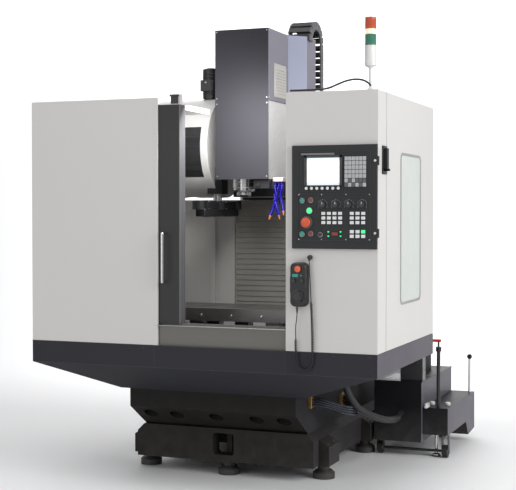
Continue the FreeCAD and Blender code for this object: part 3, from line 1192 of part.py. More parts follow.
base_casting()
levelling_feet()
column()
linear_rails()
coolant_tray()
enclosure_left()
enclosure_right()
side_window()
rear_guards()
front_sill()
door()
saddle()
table()
ball_screws()
axis_motors()
way_covers()
head()
spindle()
tool_changer()
cable_carrier()
operator_panel()
signal_tower()
pendant()
cords()
electrical_cabinet()
coolant_tank()
lubricator()

# ---------------------------------------------------------------------------
# Check every object, then write one file for each sub-part
# ---------------------------------------------------------------------------
doc.recompute()
for item in doc.Objects:
    bad = [word for word in item.State if word in ("Invalid", "Error")]
    if bad:
        raise ValueError("%s (%s) is %s" % (item.Name, item.Label, bad))
for part in NODES:
    if part.Shape.isNull() or not part.Shape.isValid():
        raise ValueError("%s has no valid shape" % part.Label)
if len(NODES) > 60:
    raise ValueError("%d sub-parts are more than 60" % len(NODES))
os.makedirs("parts", exist_ok=True)
for part in NODES:
    part.Shape.exportStep(os.path.join("parts", part.Label + ".step"))
print("%d sub-parts written" % len(NODES))
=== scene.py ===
import math
import bmesh
import bpy
from mathutils import Matrix, Vector


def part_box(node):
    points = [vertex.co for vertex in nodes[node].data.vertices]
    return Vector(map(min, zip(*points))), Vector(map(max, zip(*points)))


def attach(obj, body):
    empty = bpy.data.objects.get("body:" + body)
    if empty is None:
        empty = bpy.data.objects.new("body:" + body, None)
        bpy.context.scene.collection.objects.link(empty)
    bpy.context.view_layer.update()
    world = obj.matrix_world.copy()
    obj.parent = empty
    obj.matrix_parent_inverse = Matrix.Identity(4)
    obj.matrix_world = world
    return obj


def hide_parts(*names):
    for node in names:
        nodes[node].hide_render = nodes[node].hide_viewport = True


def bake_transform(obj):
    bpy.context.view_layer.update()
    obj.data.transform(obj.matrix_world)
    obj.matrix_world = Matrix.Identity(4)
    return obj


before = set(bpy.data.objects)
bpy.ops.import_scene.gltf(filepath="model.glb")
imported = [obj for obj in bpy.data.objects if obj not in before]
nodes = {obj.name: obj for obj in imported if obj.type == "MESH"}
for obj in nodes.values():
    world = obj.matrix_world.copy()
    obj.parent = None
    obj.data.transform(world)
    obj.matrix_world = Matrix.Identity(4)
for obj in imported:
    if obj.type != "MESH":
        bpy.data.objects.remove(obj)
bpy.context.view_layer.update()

# ---------------------------------------------------------------------------
# Camera, floor and studio light. A long lens stands at eye height off the machine's
# right front corner; the floor sweeps up into a pale wall, and the light is soft.
# ---------------------------------------------------------------------------
camera = bpy.data.objects.new("camera", bpy.data.cameras.new("camera"))
bpy.context.scene.collection.objects.link(camera)
camera.location = (2.584, -6.692, 1.430)
camera.rotation_euler = (math.radians(88.53), 0.0, math.radians(21.5))
camera.data.sensor_width = 36.0
camera.data.lens = 84.49
bpy.context.scene.camera = camera
bpy.context.scene.view_settings.view_transform = "Standard"


def soft_box(name, place, aim, size, power, tint=(1.0, 1.0, 1.0)):
    """Square area light at a place, turned to a point."""
    light = bpy.data.lights.new(name, "AREA")
    light.energy = power
    light.size = size
    light.color = tint
    holder = bpy.data.objects.new(name, light)
    holder.location = place
    holder.rotation_euler = (Vector(aim) - Vector(place)).to_track_quat("-Z", "Y").to_euler()
    bpy.context.scene.collection.objects.link(holder)


machine_middle = (0.0, -0.2, 1.2)
soft_box("key_light", (6.8, -2.6, 3.9), machine_middle, 4.0, 360.0)
soft_box("front_fill", (-2.6, -7.0, 2.8), machine_middle, 4.5, 98.0)
soft_box("top_light", (0.4, -0.9, 6.2), machine_middle, 4.0, 90.0)
soft_box("back_light", (-2.5, 5.5, 4.5), machine_middle, 4.0, 90.0)
soft_box("wall_wash", (0.0, 2.6, 5.2), (-1.0, 9.0, 3.6), 4.0, 340.0)
soft_box("work_lamp", (0.16, -0.86, 1.97), (-0.25, 0.10, 1.05), 0.40, 9.5)

world = bpy.data.worlds.new("studio")
bpy.context.scene.world = world
world.use_nodes = True
world.node_tree.nodes["Background"].inputs["Color"].default_value = (0.93, 0.94, 0.96, 1.0)
world.node_tree.nodes["Background"].inputs["Strength"].default_value = 0.40


def node_material(name, gloss=0.5):
    """New material with its Principled shader, and a function that adds and links its nodes."""
    material = bpy.data.materials.new(name)
    material.use_nodes = True
    tree = material.node_tree
    shader = tree.nodes["Principled BSDF"]
    shader.inputs["Specular IOR Level"].default_value = gloss

    def add(kind, values=None, **links):
        node = tree.nodes.new(kind)
        for key, value in (values or {}).items():
            if key in node.inputs.keys() or isinstance(key, int):
                node.inputs[key].default_value = value
            else:
                setattr(node, key, value)
        for key, source in links.items():
            tree.links.new(source, node.inputs[key])
        return node

    return material, tree, shader, add


floor_finish, floor_tree, floor_shader, floor_add = node_material("studio_floor")
floor_cloud = floor_add("ShaderNodeTexNoise", {"Scale": 0.7, "Detail": 3.0})
floor_tone = floor_add("ShaderNodeValToRGB", Fac=floor_cloud.outputs["Fac"])
floor_tone.color_ramp.elements[0].color = (0.84, 0.84, 0.845, 1.0)
floor_tone.color_ramp.elements[1].color = (0.88, 0.88, 0.88, 1.0)
floor_tree.links.new(floor_tone.outputs["Color"], floor_shader.inputs["Base Color"])
floor_shader.inputs["Roughness"].default_value = 0.62

floor_mesh = bpy.data.meshes.new("studio_sweep")
floor_half, wall_start, wall_radius, wall_top = 14.0, 4.5, 2.0, 9.0
sweep = [(-12.0, 0.0), (wall_start, 0.0)]
sweep += [(wall_start + wall_radius * math.sin(turn), wall_radius * (1.0 - math.cos(turn)))
          for turn in [math.radians(step * 7.5) for step in range(1, 13)]]
sweep.append((wall_start + wall_radius, wall_top))
floor_mesh.from_pydata([(x, y, z) for y, z in sweep for x in (-floor_half, floor_half)], [],
                       [(2 * i, 2 * i + 1, 2 * i + 3, 2 * i + 2) for i in range(len(sweep) - 1)])
studio_floor = bpy.data.objects.new("studio_floor", floor_mesh)
floor_mesh.materials.append(floor_finish)
for polygon in floor_mesh.polygons:
    polygon.use_smooth = True
bpy.context.scene.collection.objects.link(studio_floor)
studio_floor.rotation_euler = (0.0, 0.0, math.radians(21.5))

# ---------------------------------------------------------------------------
# Leads and hoses. Black PVC and rubber: a straight lead leaves the gland on the guard,
# the curly lead hangs in a loop below it and comes up to the pendant; a lamp cable lies
# over the roof, and a ribbed drain hose runs from the tray's outlet to the tank.
# ---------------------------------------------------------------------------
rubber, rubber_tree, rubber_shader, rubber_add = node_material("black_cord_rubber")
rubber_grain = rubber_add("ShaderNodeTexNoise", {"Scale": 260.0, "Detail": 4.0})
rubber_tone = rubber_add("ShaderNodeValToRGB", Fac=rubber_grain.outputs["Fac"])
rubber_tone.color_ramp.elements[0].color = (0.010, 0.010, 0.011, 1.0)
rubber_tone.color_ramp.elements[1].color = (0.022, 0.022, 0.024, 1.0)
rubber_bump = rubber_add("ShaderNodeBump", {"Strength": 0.25, "Distance": 0.0004},
                         Height=rubber_grain.outputs["Fac"])
rubber_tree.links.new(rubber_tone.outputs["Color"], rubber_shader.inputs["Base Color"])
rubber_tree.links.new(rubber_bump.outputs["Normal"], rubber_shader.inputs["Normal"])
rubber_shader.inputs["Roughness"].default_value = 0.42

LEAD_DOWN = [(0.628, -1.035, 1.198), (0.628, -1.036, 1.150), (0.634, -1.038, 1.095),
             (0.636, -1.038, 1.045), (0.638, -1.036, 1.000)]
CURL = [(0.638, -1.036, 1.000), (0.641, -1.036, 0.945), (0.643, -1.034, 0.890),
        (0.644, -1.032, 0.835), (0.644, -1.030, 0.782), (0.643, -1.029, 0.728),
        (0.640, -1.028, 0.680), (0.618, -1.028, 0.653), (0.586, -1.028, 0.653),
        (0.563, -1.030, 0.678), (0.559, -1.032, 0.722), (0.557, -1.034, 0.767),
        (0.558, -1.036, 0.813)]
LEAD_UP = [(0.558, -1.036, 0.813), (0.556, -1.038, 0.865), (0.566, -1.040, 0.917),
           (0.566, -1.040, 0.968)]
TOP_CABLE = [(0.508, -0.984, 2.046), (0.566, -0.986, 2.045), (0.624, -0.984, 2.046),
             (0.672, -0.985, 2.045), (0.716, -0.985, 2.052), (0.752, -0.985, 2.066),
             (0.792, -0.985, 2.081), (0.835, -0.985, 2.090), (0.876, -0.984, 2.088),
             (0.910, -0.976, 2.074), (0.922, -0.966, 2.056)]
DRAIN_HOSE = [(0.640, -0.470, 0.505), (0.650, -0.440, 0.440), (0.690, -0.370, 0.360),
              (0.760, -0.250, 0.300), (0.800, -0.110, 0.270), (0.800, 0.040, 0.262),
              (0.762, 0.140, 0.258), (0.762, 0.230, 0.258)]


def cord_curve(name, points, radius, finish):
    """Smooth curve whose control points are the cord's route."""
    curve = bpy.data.curves.new(name, "CURVE")
    curve.dimensions = "3D"
    spline = curve.splines.new("NURBS")
    spline.points.add(len(points) - 1)
    for control, place in zip(spline.points, points):
        control.co = (*place, 1.0)
    spline.order_u = 3
    spline.use_endpoint_u = True
    spline.resolution_u = 12
    curve.bevel_depth = radius
    curve.bevel_resolution = 5
    curve.use_fill_caps = True
    curve.materials.append(finish)
    cord = bpy.data.objects.new(name, curve)
    bpy.context.scene.collection.objects.link(cord)
    return cord


def centre_line(points):
    """Points along the smooth line that a route's curve draws."""
    guide = cord_curve("guide_line", points, 0.0, rubber)
    bpy.context.view_layer.update()
    mesh = bpy.data.meshes.new_from_object(guide)
    line = [vertex.co.copy() for vertex in mesh.vertices]
    bpy.data.objects.remove(guide)
    return line


lead_radius, cable_radius, drain_radius = 0.0025, 0.005, 0.019
lead_upper = cord_curve("lead_from_gland", LEAD_DOWN, lead_radius, rubber)
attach(lead_upper, "frame")
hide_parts("pendant_lead_upper")

lead_lower = cord_curve("lead_to_pendant", LEAD_UP, lead_radius, rubber)
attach(lead_lower, "frame")
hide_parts("pendant_lead_lower")

lamp_cable = cord_curve("lamp_cable", TOP_CABLE, cable_radius, rubber)
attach(lamp_cable, "frame")
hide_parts("top_cable")

drain_line = cord_curve("drain_line", DRAIN_HOSE, drain_radius, rubber)
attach(drain_line, "frame")
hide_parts("drain_hose")

# The curly lead: close turns round the route's own line, with straight ends.
curl_line = centre_line(CURL)
curl_turns, curl_outer, curl_strand, curl_steps = 66, 0.0078, 0.0023, 16
curl_lengths = [0.0]
for before, after in zip(curl_line, curl_line[1:]):
    curl_lengths.append(curl_lengths[-1] + (after - before).length)


def along_curl(share):
    """Place and heading at a share of the curl's line."""
    distance = share * curl_lengths[-1]
    index = 1
    while index < len(curl_lengths) - 1 and curl_lengths[index] < distance:
        index += 1
    span = curl_lengths[index] - curl_lengths[index - 1]
    part = (distance - curl_lengths[index - 1]) / span
    return curl_line[index - 1].lerp(curl_line[index], part), curl_line[index] - curl_line[index - 1]


helix = []
out_of_guard = Vector((0.0, 1.0, 0.0))
for step in range(curl_turns * curl_steps + 1):
    share = step / (curl_turns * curl_steps)
    place, heading = along_curl(share)
    sideways = heading.normalized().cross(out_of_guard).normalized()
    upward = sideways.cross(heading.normalized())
    turn = 2.0 * math.pi * curl_turns * share
    swell = min(1.0, share * 40.0, (1.0 - share) * 40.0)
    reach = (curl_outer - curl_strand) * swell
    helix.append(place + sideways * reach * math.cos(turn) + upward * reach * math.sin(turn))

curly_lead = bpy.data.curves.new("curly_lead", "CURVE")
curly_lead.dimensions = "3D"
curly_spline = curly_lead.splines.new("POLY")
curly_spline.points.add(len(helix) - 1)
for control, place in zip(curly_spline.points, helix):
    control.co = (*place, 1.0)
curly_lead.bevel_depth = curl_strand
curly_lead.bevel_resolution = 2
curly_lead.materials.append(rubber)
curly = bpy.data.objects.new("curly_lead", curly_lead)
bpy.context.scene.collection.objects.link(curly)
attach(curly, "frame")
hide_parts("pendant_curl")

# ---------------------------------------------------------------------------
# Light guards. The left and right cabinets, the rear sheets, the door leaf and the tool
# drum's cover are folded from 3 mm sheet steel with a fine-textured warm gray powder coat.
# ---------------------------------------------------------------------------
def new_group(name, inputs, outputs):
    """Shader node group with named number inputs, and its inner add function."""
    group = bpy.data.node_groups.new(name, "ShaderNodeTree")
    for label, value in inputs.items():
        group.interface.new_socket(label, in_out="INPUT",
                                   socket_type="NodeSocketFloat").default_value = value
    for label, kind in outputs.items():
        group.interface.new_socket(label, in_out="OUTPUT", socket_type="NodeSocket" + kind)
    entry = group.nodes.new("NodeGroupInput")
    leave = group.nodes.new("NodeGroupOutput")

    def add(kind, values=None, **links):
        node = group.nodes.new(kind)
        for key, value in (values or {}).items():
            if key in node.inputs.keys() or isinstance(key, int):
                node.inputs[key].default_value = value
            else:
                setattr(node, key, value)
        for key, source in links.items():
            group.links.new(source, node.inputs[key])
        return node

    return group, entry, leave, add


# Edge wear: a mask that is bright where a rounded corner turns away from its flat faces.
edge_group, edge_in, edge_out, edge_add = new_group(
    "corner_wear", {"Radius": 0.003, "Breakup": 60.0}, {"Mask": "Float"})
edge_place = edge_add("ShaderNodeNewGeometry")
edge_spot = edge_add("ShaderNodeTexCoord")
edge_round = edge_add("ShaderNodeBevel", {"samples": 4}, Radius=edge_in.outputs["Radius"])
edge_dot = edge_add("ShaderNodeVectorMath", {"operation": "DOT_PRODUCT"})
edge_group.links.new(edge_round.outputs["Normal"], edge_dot.inputs[0])
edge_group.links.new(edge_place.outputs["Normal"], edge_dot.inputs[1])
edge_noise = edge_add("ShaderNodeTexNoise", {"Detail": 5.0}, Vector=edge_spot.outputs["Object"],
                      Scale=edge_in.outputs["Breakup"])
edge_range = edge_add("ShaderNodeMapRange", {1: 0.995, 2: 0.80, 3: 0.0, 4: 1.0},
                      Value=edge_dot.outputs["Value"])
edge_mix = edge_add("ShaderNodeMath", {"operation": "MULTIPLY"})
edge_group.links.new(edge_range.outputs["Result"], edge_mix.inputs[0])
edge_group.links.new(edge_noise.outputs["Fac"], edge_mix.inputs[1])
edge_group.links.new(edge_mix.outputs["Value"], edge_out.inputs["Mask"])

# Powder coat: fine orange-peel height, and a faint broad change of tone over a sheet.
coat_group, coat_in, coat_out, coat_add = new_group(
    "powder_coat", {"Peel": 420.0, "Cloud": 1.6}, {"Height": "Float", "Cloud": "Float"})
coat_place = coat_add("ShaderNodeTexCoord")
coat_peel = coat_add("ShaderNodeTexNoise", {"Detail": 2.0, "Roughness": 0.6},
                     Vector=coat_place.outputs["Object"], Scale=coat_in.outputs["Peel"])
coat_cloud = coat_add("ShaderNodeTexNoise", {"Detail": 4.0},
                      Vector=coat_place.outputs["Object"], Scale=coat_in.outputs["Cloud"])
coat_group.links.new(coat_peel.outputs["Fac"], coat_out.inputs["Height"])
coat_group.links.new(coat_cloud.outputs["Fac"], coat_out.inputs["Cloud"])

# Shop dust: a mask that grows towards the floor, broken up by a speckle of noise.
dust_group, dust_in, dust_out, dust_add = new_group(
    "shop_dust", {"Reach": 0.5, "Speckle": 22.0}, {"Mask": "Float"})
dust_place = dust_add("ShaderNodeTexCoord")
dust_split = dust_add("ShaderNodeSeparateXYZ", Vector=dust_place.outputs["Object"])
dust_fall = dust_add("ShaderNodeMapRange", {1: 0.0, 3: 0.7, 4: 0.0}, Value=dust_split.outputs["Z"])
dust_group.links.new(dust_in.outputs["Reach"], dust_fall.inputs[2])
dust_noise = dust_add("ShaderNodeTexNoise", {"Detail": 6.0}, Vector=dust_place.outputs["Object"],
                      Scale=dust_in.outputs["Speckle"])
dust_mix = dust_add("ShaderNodeMath", {"operation": "MULTIPLY"})
dust_group.links.new(dust_fall.outputs["Result"], dust_mix.inputs[0])
dust_group.links.new(dust_noise.outputs["Fac"], dust_mix.inputs[1])
dust_group.links.new(dust_mix.outputs["Value"], dust_out.inputs["Mask"])


def use_group(add, group, **values):
    """A node group placed in a material with its own values."""
    node = add("ShaderNodeGroup", {"node_tree": group})
    for label, value in values.items():
        node.inputs[label].default_value = value
    return node


def painted(name, tone, rough=0.45, spread=0.04, peel=420.0, depth=0.00025, bare=None, wear=0.5,
            wear_radius=0.003, dust=0.4, lit_side_tone=None, metallic=0.0, coat=0.0, gloss=0.5):
    """Paint or powder coat on metal: orange peel, a clouded tone, worn corners and dust, and faces turned
    to the right painted paler as a lit side when a lit-side tone is given.
    """
    material, tree, shader, add = node_material(name, gloss)
    coat_node = use_group(add, coat_group, Peel=peel, Cloud=1.6)
    dark = (*[value * (1.0 - spread) for value in tone], 1.0)
    light = (*[min(1.0, value * (1.0 + spread)) for value in tone], 1.0)
    cloud = add("ShaderNodeMix", {"data_type": "RGBA", 6: dark, 7: light})
    tree.links.new(coat_node.outputs["Cloud"], cloud.inputs["Factor"])
    colour = cloud.outputs[2]
    # Painted light: faces turned to the right take the paler lit-side tone.
    if lit_side_tone is not None:
        place = add("ShaderNodeNewGeometry")
        facing = add("ShaderNodeSeparateXYZ", Vector=place.outputs["True Normal"])
        side = add("ShaderNodeMapRange", {1: 0.6, 2: 0.8}, Value=facing.outputs["X"])
        painted_lit_side = add("ShaderNodeMix", {"data_type": "RGBA", 7: (*lit_side_tone, 1.0)})
        tree.links.new(side.outputs["Result"], painted_lit_side.inputs["Factor"])
        tree.links.new(colour, painted_lit_side.inputs[6])
        colour = painted_lit_side.outputs[2]
    edge = use_group(add, edge_group, Radius=wear_radius, Breakup=70.0)
    worn = add("ShaderNodeMath", {"operation": "MULTIPLY", 1: wear})
    tree.links.new(edge.outputs["Mask"], worn.inputs[0])
    bare_tone = bare or [min(1.0, value * 1.6 + 0.04) for value in tone]
    scuffed = add("ShaderNodeMix", {"data_type": "RGBA", 7: (*bare_tone, 1.0)})
    tree.links.new(worn.outputs["Value"], scuffed.inputs["Factor"])
    tree.links.new(colour, scuffed.inputs[6])
    dusty = use_group(add, dust_group, Reach=dust, Speckle=18.0)
    settled = add("ShaderNodeMix", {"data_type": "RGBA", 7: (0.34, 0.32, 0.29, 1.0)})
    less = add("ShaderNodeMath", {"operation": "MULTIPLY", 1: 0.35})
    tree.links.new(dusty.outputs["Mask"], less.inputs[0])
    tree.links.new(less.outputs["Value"], settled.inputs["Factor"])
    tree.links.new(scuffed.outputs[2], settled.inputs[6])
    tree.links.new(settled.outputs[2], shader.inputs["Base Color"])
    gloss = add("ShaderNodeMapRange", {1: 0.3, 2: 0.7, 3: rough - 0.05, 4: rough + 0.07},
                Value=coat_node.outputs["Cloud"])
    tree.links.new(gloss.outputs["Result"], shader.inputs["Roughness"])
    bump = add("ShaderNodeBump", {"Strength": 0.5, "Distance": depth}, Height=coat_node.outputs["Height"])
    tree.links.new(bump.outputs["Normal"], shader.inputs["Normal"])
    shader.inputs["Metallic"].default_value = metallic
    shader.inputs["Coat Weight"].default_value = coat
    return material


def finish_node(node, material):
    """A CAD piece takes a finish in all its material slots."""
    mesh = nodes[node].data
    mesh.materials.clear()
    mesh.materials.append(material)


guard_paint = painted("guard_powder_coat", (0.60, 0.585, 0.565), rough=0.42, spread=0.02,
                      bare=(0.72, 0.71, 0.69), wear=0.35, dust=0.9)
for light_node in ("enclosure_left", "enclosure_right", "rear_guards", "door_leaf",
                   "electrical_cabinet", "cabinet_door"):
    finish_node(light_node, guard_paint)


def add_box(mesh, x, y, z):
    """Add a block to a bmesh; each of x, y and z is a (low, high) pair."""
    made = bmesh.ops.create_cube(mesh, size=1.0)
    for vertex in made["verts"]:
        vertex.co = Vector([pair[0] if value < 0.0 else pair[1]
                            for value, pair in zip(vertex.co, (x, y, z))])
    return made["verts"]


def add_disc(mesh, axis, centre, profile, sides=32):
    """Add a turned piece: profile holds (radius, distance along the axis) corners."""
    spin = {"X": Matrix.Rotation(math.radians(90.0), 4, "Y"),
            "Y": Matrix.Rotation(math.radians(-90.0), 4, "X"), "Z": Matrix.Identity(4)}[axis]
    rings = []
    for radius, along in profile:
        ring = []
        for side in range(sides):
            turn = 2.0 * math.pi * side / sides
            local = Vector((radius * math.cos(turn), radius * math.sin(turn), along))
            ring.append(mesh.verts.new(Vector(centre) + spin @ local))
        rings.append(ring)
    for first, second in zip(rings, rings[1:]):
        for side in range(sides):
            after = (side + 1) % sides
            mesh.faces.new((first[side], first[after], second[after], second[side]))
    mesh.faces.new(list(reversed(rings[0])))
    mesh.faces.new(rings[-1])
    return [vertex for ring in rings for vertex in ring]


def add_rod(mesh, axis, centre, radius, length, rim=0.0, sides=24):
    """Add a round bar that starts at centre, with its rims turned off by a chamfer."""
    profile = [(radius - rim, 0.0), (radius, rim), (radius, length - rim), (radius - rim, length)]
    return add_disc(mesh, axis, centre, profile if rim > 0.0 else profile[1:3], sides)


def make_piece(name, mesh, material, body, bevel=0.0, smooth=True):
    """Turn a bmesh into a named piece that rides on a body, its edges rounded by a bevel."""
    bmesh.ops.recalc_face_normals(mesh, faces=mesh.faces)
    data = bpy.data.meshes.new(name)
    mesh.to_mesh(data)
    mesh.free()
    data.materials.append(material)
    piece = bpy.data.objects.new(name, data)
    bpy.context.scene.collection.objects.link(piece)
    if bevel > 0.0:
        rounding = piece.modifiers.new("rounded_edges", "BEVEL")
        rounding.width = bevel
        rounding.segments = 2
        rounding.limit_method = "ANGLE"
        rounding.harden_normals = False
    if smooth:
        data.shade_smooth()
        split = data.attributes.get("sharp_edge") or data.attributes.new("sharp_edge", "BOOLEAN", "EDGE")
        checked = bmesh.new()
        checked.from_mesh(data)
        checked.edges.ensure_lookup_table()
        flags = [len(edge.link_faces) != 2 or edge.calc_face_angle(0.0) > 0.6 for edge in checked.edges]
        split.data.foreach_set("value", flags)
        checked.free()
    if body is not None:
        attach(piece, body)
    return piece


screw_steel = painted("zinc_screw", (0.46, 0.46, 0.47), rough=0.3, spread=0.08, metallic=0.85, dust=0.05)


def screw_heads(name, places, axis, radius, body, height=0.0022, metal=None):
    """Row of button-head screws with a socket, standing on a surface."""
    mesh = bmesh.new()
    for place in places:
        add_disc(mesh, axis, place, [(radius, 0.0), (radius, height * 0.3), (radius * 0.8, height * 0.85),
                                     (radius * 0.45, height), (radius * 0.42, height * 0.35)], 16)
    return make_piece(name, mesh, metal or screw_steel, body)


left_low, left_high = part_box("enclosure_left")
right_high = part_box("enclosure_right")[1]
guard_front, guard_bottom, guard_top = left_low.y, left_low.z, left_high.z
side_x = right_high.x

# Edge trim of the door opening, and the seam where the right cabinet's two sheets meet.
shadow_gap = painted("seam_shadow", (0.05, 0.05, 0.05), rough=0.8, spread=0.1, wear=0.0, dust=0.05)
seams = bmesh.new()
add_box(seams, (-0.9725, side_x), (guard_front - 0.0006, guard_front + 0.001),
        (guard_bottom, guard_bottom + 0.003))
add_box(seams, (side_x - 0.001, side_x + 0.0006), (guard_front, 0.118),
        (guard_bottom, guard_bottom + 0.003))
add_box(seams, (side_x - 0.001, side_x + 0.0006), (-0.862, -0.8605), (guard_bottom, guard_top - 0.002))
add_box(seams, (-side_x - 0.0006, -side_x + 0.001), (-0.30, -0.2985), (guard_bottom, guard_top - 0.002))
make_piece("guard_seams", seams, shadow_gap, "frame", smooth=False)

# Black latch housing on the right side, and pull-out vent sheets on the left side and back.
covers = bmesh.new()
add_box(covers, (-side_x - 0.003, -side_x), (-0.86, -0.42), (1.10, 1.78))
make_piece("service_covers", covers, guard_paint, "frame", bevel=0.0012)
vents = bmesh.new()
for row in range(12):
    level = 0.86 + row * 0.018
    add_box(vents, (-side_x - 0.0045, -side_x), (-0.80, -0.48), (level, level + 0.009))
make_piece("left_vents", vents, guard_paint, "frame", bevel=0.002)
screw_heads("cover_screws", [(-side_x - 0.003, y, z) for y in (-0.845, -0.435) for z in (1.12, 1.44, 1.76)],
            "X", -0.006, "frame", -0.0022)
latch_black = painted("latch_black_enamel", (0.014, 0.014, 0.015), gloss=0.3, wear=0.2, dust=0.1)
side_latch = bmesh.new()
add_box(side_latch, (side_x, side_x + 0.006), (-0.945, -0.867), (1.625, 1.765))
add_box(side_latch, (side_x + 0.004, side_x + 0.024), (-0.930, -0.900), (1.640, 1.752))
add_box(side_latch, (side_x + 0.004, side_x + 0.034), (-0.930, -0.912), (1.640, 1.652))
make_piece("side_latch", side_latch, latch_black, "frame", bevel=0.002)
screw_heads("side_screws", [(side_x + 0.003, y, z) for y in (-0.932, -0.880) for z in (1.641, 1.750)],
            "X", 0.0045, "frame")

# ---------------------------------------------------------------------------
# Side window: a bonded pane of pale gray-green polycarbonate in the right cabinet, held by
# a gray rubber profile with round corners; the door's own pane is made the same way.
# ---------------------------------------------------------------------------
def window_finish(name, tint, see_through):
    """Tinted pane: faint smears in its gloss over a part-transparent body."""
    material, tree, shader, add = node_material(name)
    smear = add("ShaderNodeTexNoise", {"Scale": 5.0, "Detail": 6.0, "Distortion": 1.2})
    tone = add("ShaderNodeMix", {"data_type": "RGBA", 6: (*tint, 1.0),
                                 7: (*[min(1.0, value * 1.08) for value in tint], 1.0)})
    tree.links.new(smear.outputs["Fac"], tone.inputs["Factor"])
    tree.links.new(tone.outputs[2], shader.inputs["Base Color"])
    gloss = add("ShaderNodeMapRange", {3: 0.05, 4: 0.16}, Value=smear.outputs["Fac"])
    tree.links.new(gloss.outputs["Result"], shader.inputs["Roughness"])
    shader.inputs["Alpha"].default_value = see_through
    shader.inputs["IOR"].default_value = 1.58
    return material


pane_finish = window_finish("polycarbonate_pane", (0.60, 0.64, 0.60), 0.80)
finish_node("side_window", pane_finish)
finish_node("door_window", window_finish("door_polycarbonate", (0.42, 0.46, 0.43), 0.45))
gasket_rubber = painted("gasket_rubber", (0.30, 0.305, 0.295), rough=0.6, spread=0.12, wear=0.1, dust=0.1)


def frame_ring(mesh, place, half_u, half_v, corner, width, depth, steps=6):
    """Rounded rectangular ring of a rubber profile; place maps (u, v, d) to a point."""
    def corners(inset, d):
        points = []
        for cu, cv, start in ((1, 1, 0.0), (-1, 1, 90.0), (-1, -1, 180.0), (1, -1, 270.0)):
            radius = max(corner - inset, 0.002)
            for step in range(steps + 1):
                turn = math.radians(start + 90.0 * step / steps)
                points.append(mesh.verts.new(place(
                    cu * (half_u - inset - radius) + radius * math.cos(turn),
                    cv * (half_v - inset - radius) + radius * math.sin(turn), d)))
        return points
    loops = [corners(0.0, 0.0), corners(0.0015, depth * 0.8), corners(width * 0.5, depth),
             corners(width - 0.0015, depth * 0.8), corners(width, 0.0)]
    for first, second in zip(loops, loops[1:]):
        for index in range(len(first)):
            after = (index + 1) % len(first)
            mesh.faces.new((first[index], first[after], second[after], second[index]))
    for index in range(len(loops[0])):
        after = (index + 1) % len(loops[0])
        mesh.faces.new((loops[-1][index], loops[-1][after], loops[0][after], loops[0][index]))


pane_low, pane_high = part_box("side_window")
pane_middle = (pane_low + pane_high) / 2.0
side_gasket = bmesh.new()
frame_ring(side_gasket, lambda u, v, d: Vector((side_x + d, pane_middle.y + u, pane_middle.z + v)),
           (pane_high.y - pane_low.y) / 2.0 + 0.006, (pane_high.z - pane_low.z) / 2.0 + 0.006,
           0.040, 0.014, 0.004)
make_piece("side_window_gasket", side_gasket, gasket_rubber, "frame")

# ---------------------------------------------------------------------------
# Skirt and coolant tray: dark blue-gray powder-coated steel. The upright fascia carries the
# guards, and slanted sheets fall from it to the flat floor that sits on the casting.
# ---------------------------------------------------------------------------
# Painted light: the tray's faces turned to the right take a paler lit-side tone.
tray_paint = painted("tray_powder_coat", (0.026, 0.026, 0.032), rough=0.52, spread=0.06, wear=0.3,
                     gloss=0.2, bare=(0.16, 0.16, 0.17), lit_side_tone=(0.095, 0.09, 0.105), dust=0.5)
finish_node("coolant_tray", tray_paint)
tray_low, tray_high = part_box("coolant_tray")
tray_lines = bmesh.new()
add_box(tray_lines, (tray_low.x + 0.004, tray_high.x - 0.004), (tray_low.y - 0.0008, tray_low.y + 0.001),
        (0.6265, 0.6285))
for joint_x in (-0.236, 0.493):
    add_box(tray_lines, (joint_x - 0.001, joint_x + 0.001), (tray_low.y - 0.0008, tray_low.y + 0.001),
            (0.630, tray_high.z - 0.002))
make_piece("tray_fold_lines", tray_lines, shadow_gap, "frame", smooth=False)
screw_heads("tray_screws", [(x, tray_low.y, 0.728) for x in (-0.93, -0.62, -0.30, 0.55, 0.75, 0.93)],
            "Y", -0.005, "frame", -0.002, metal=tray_paint)

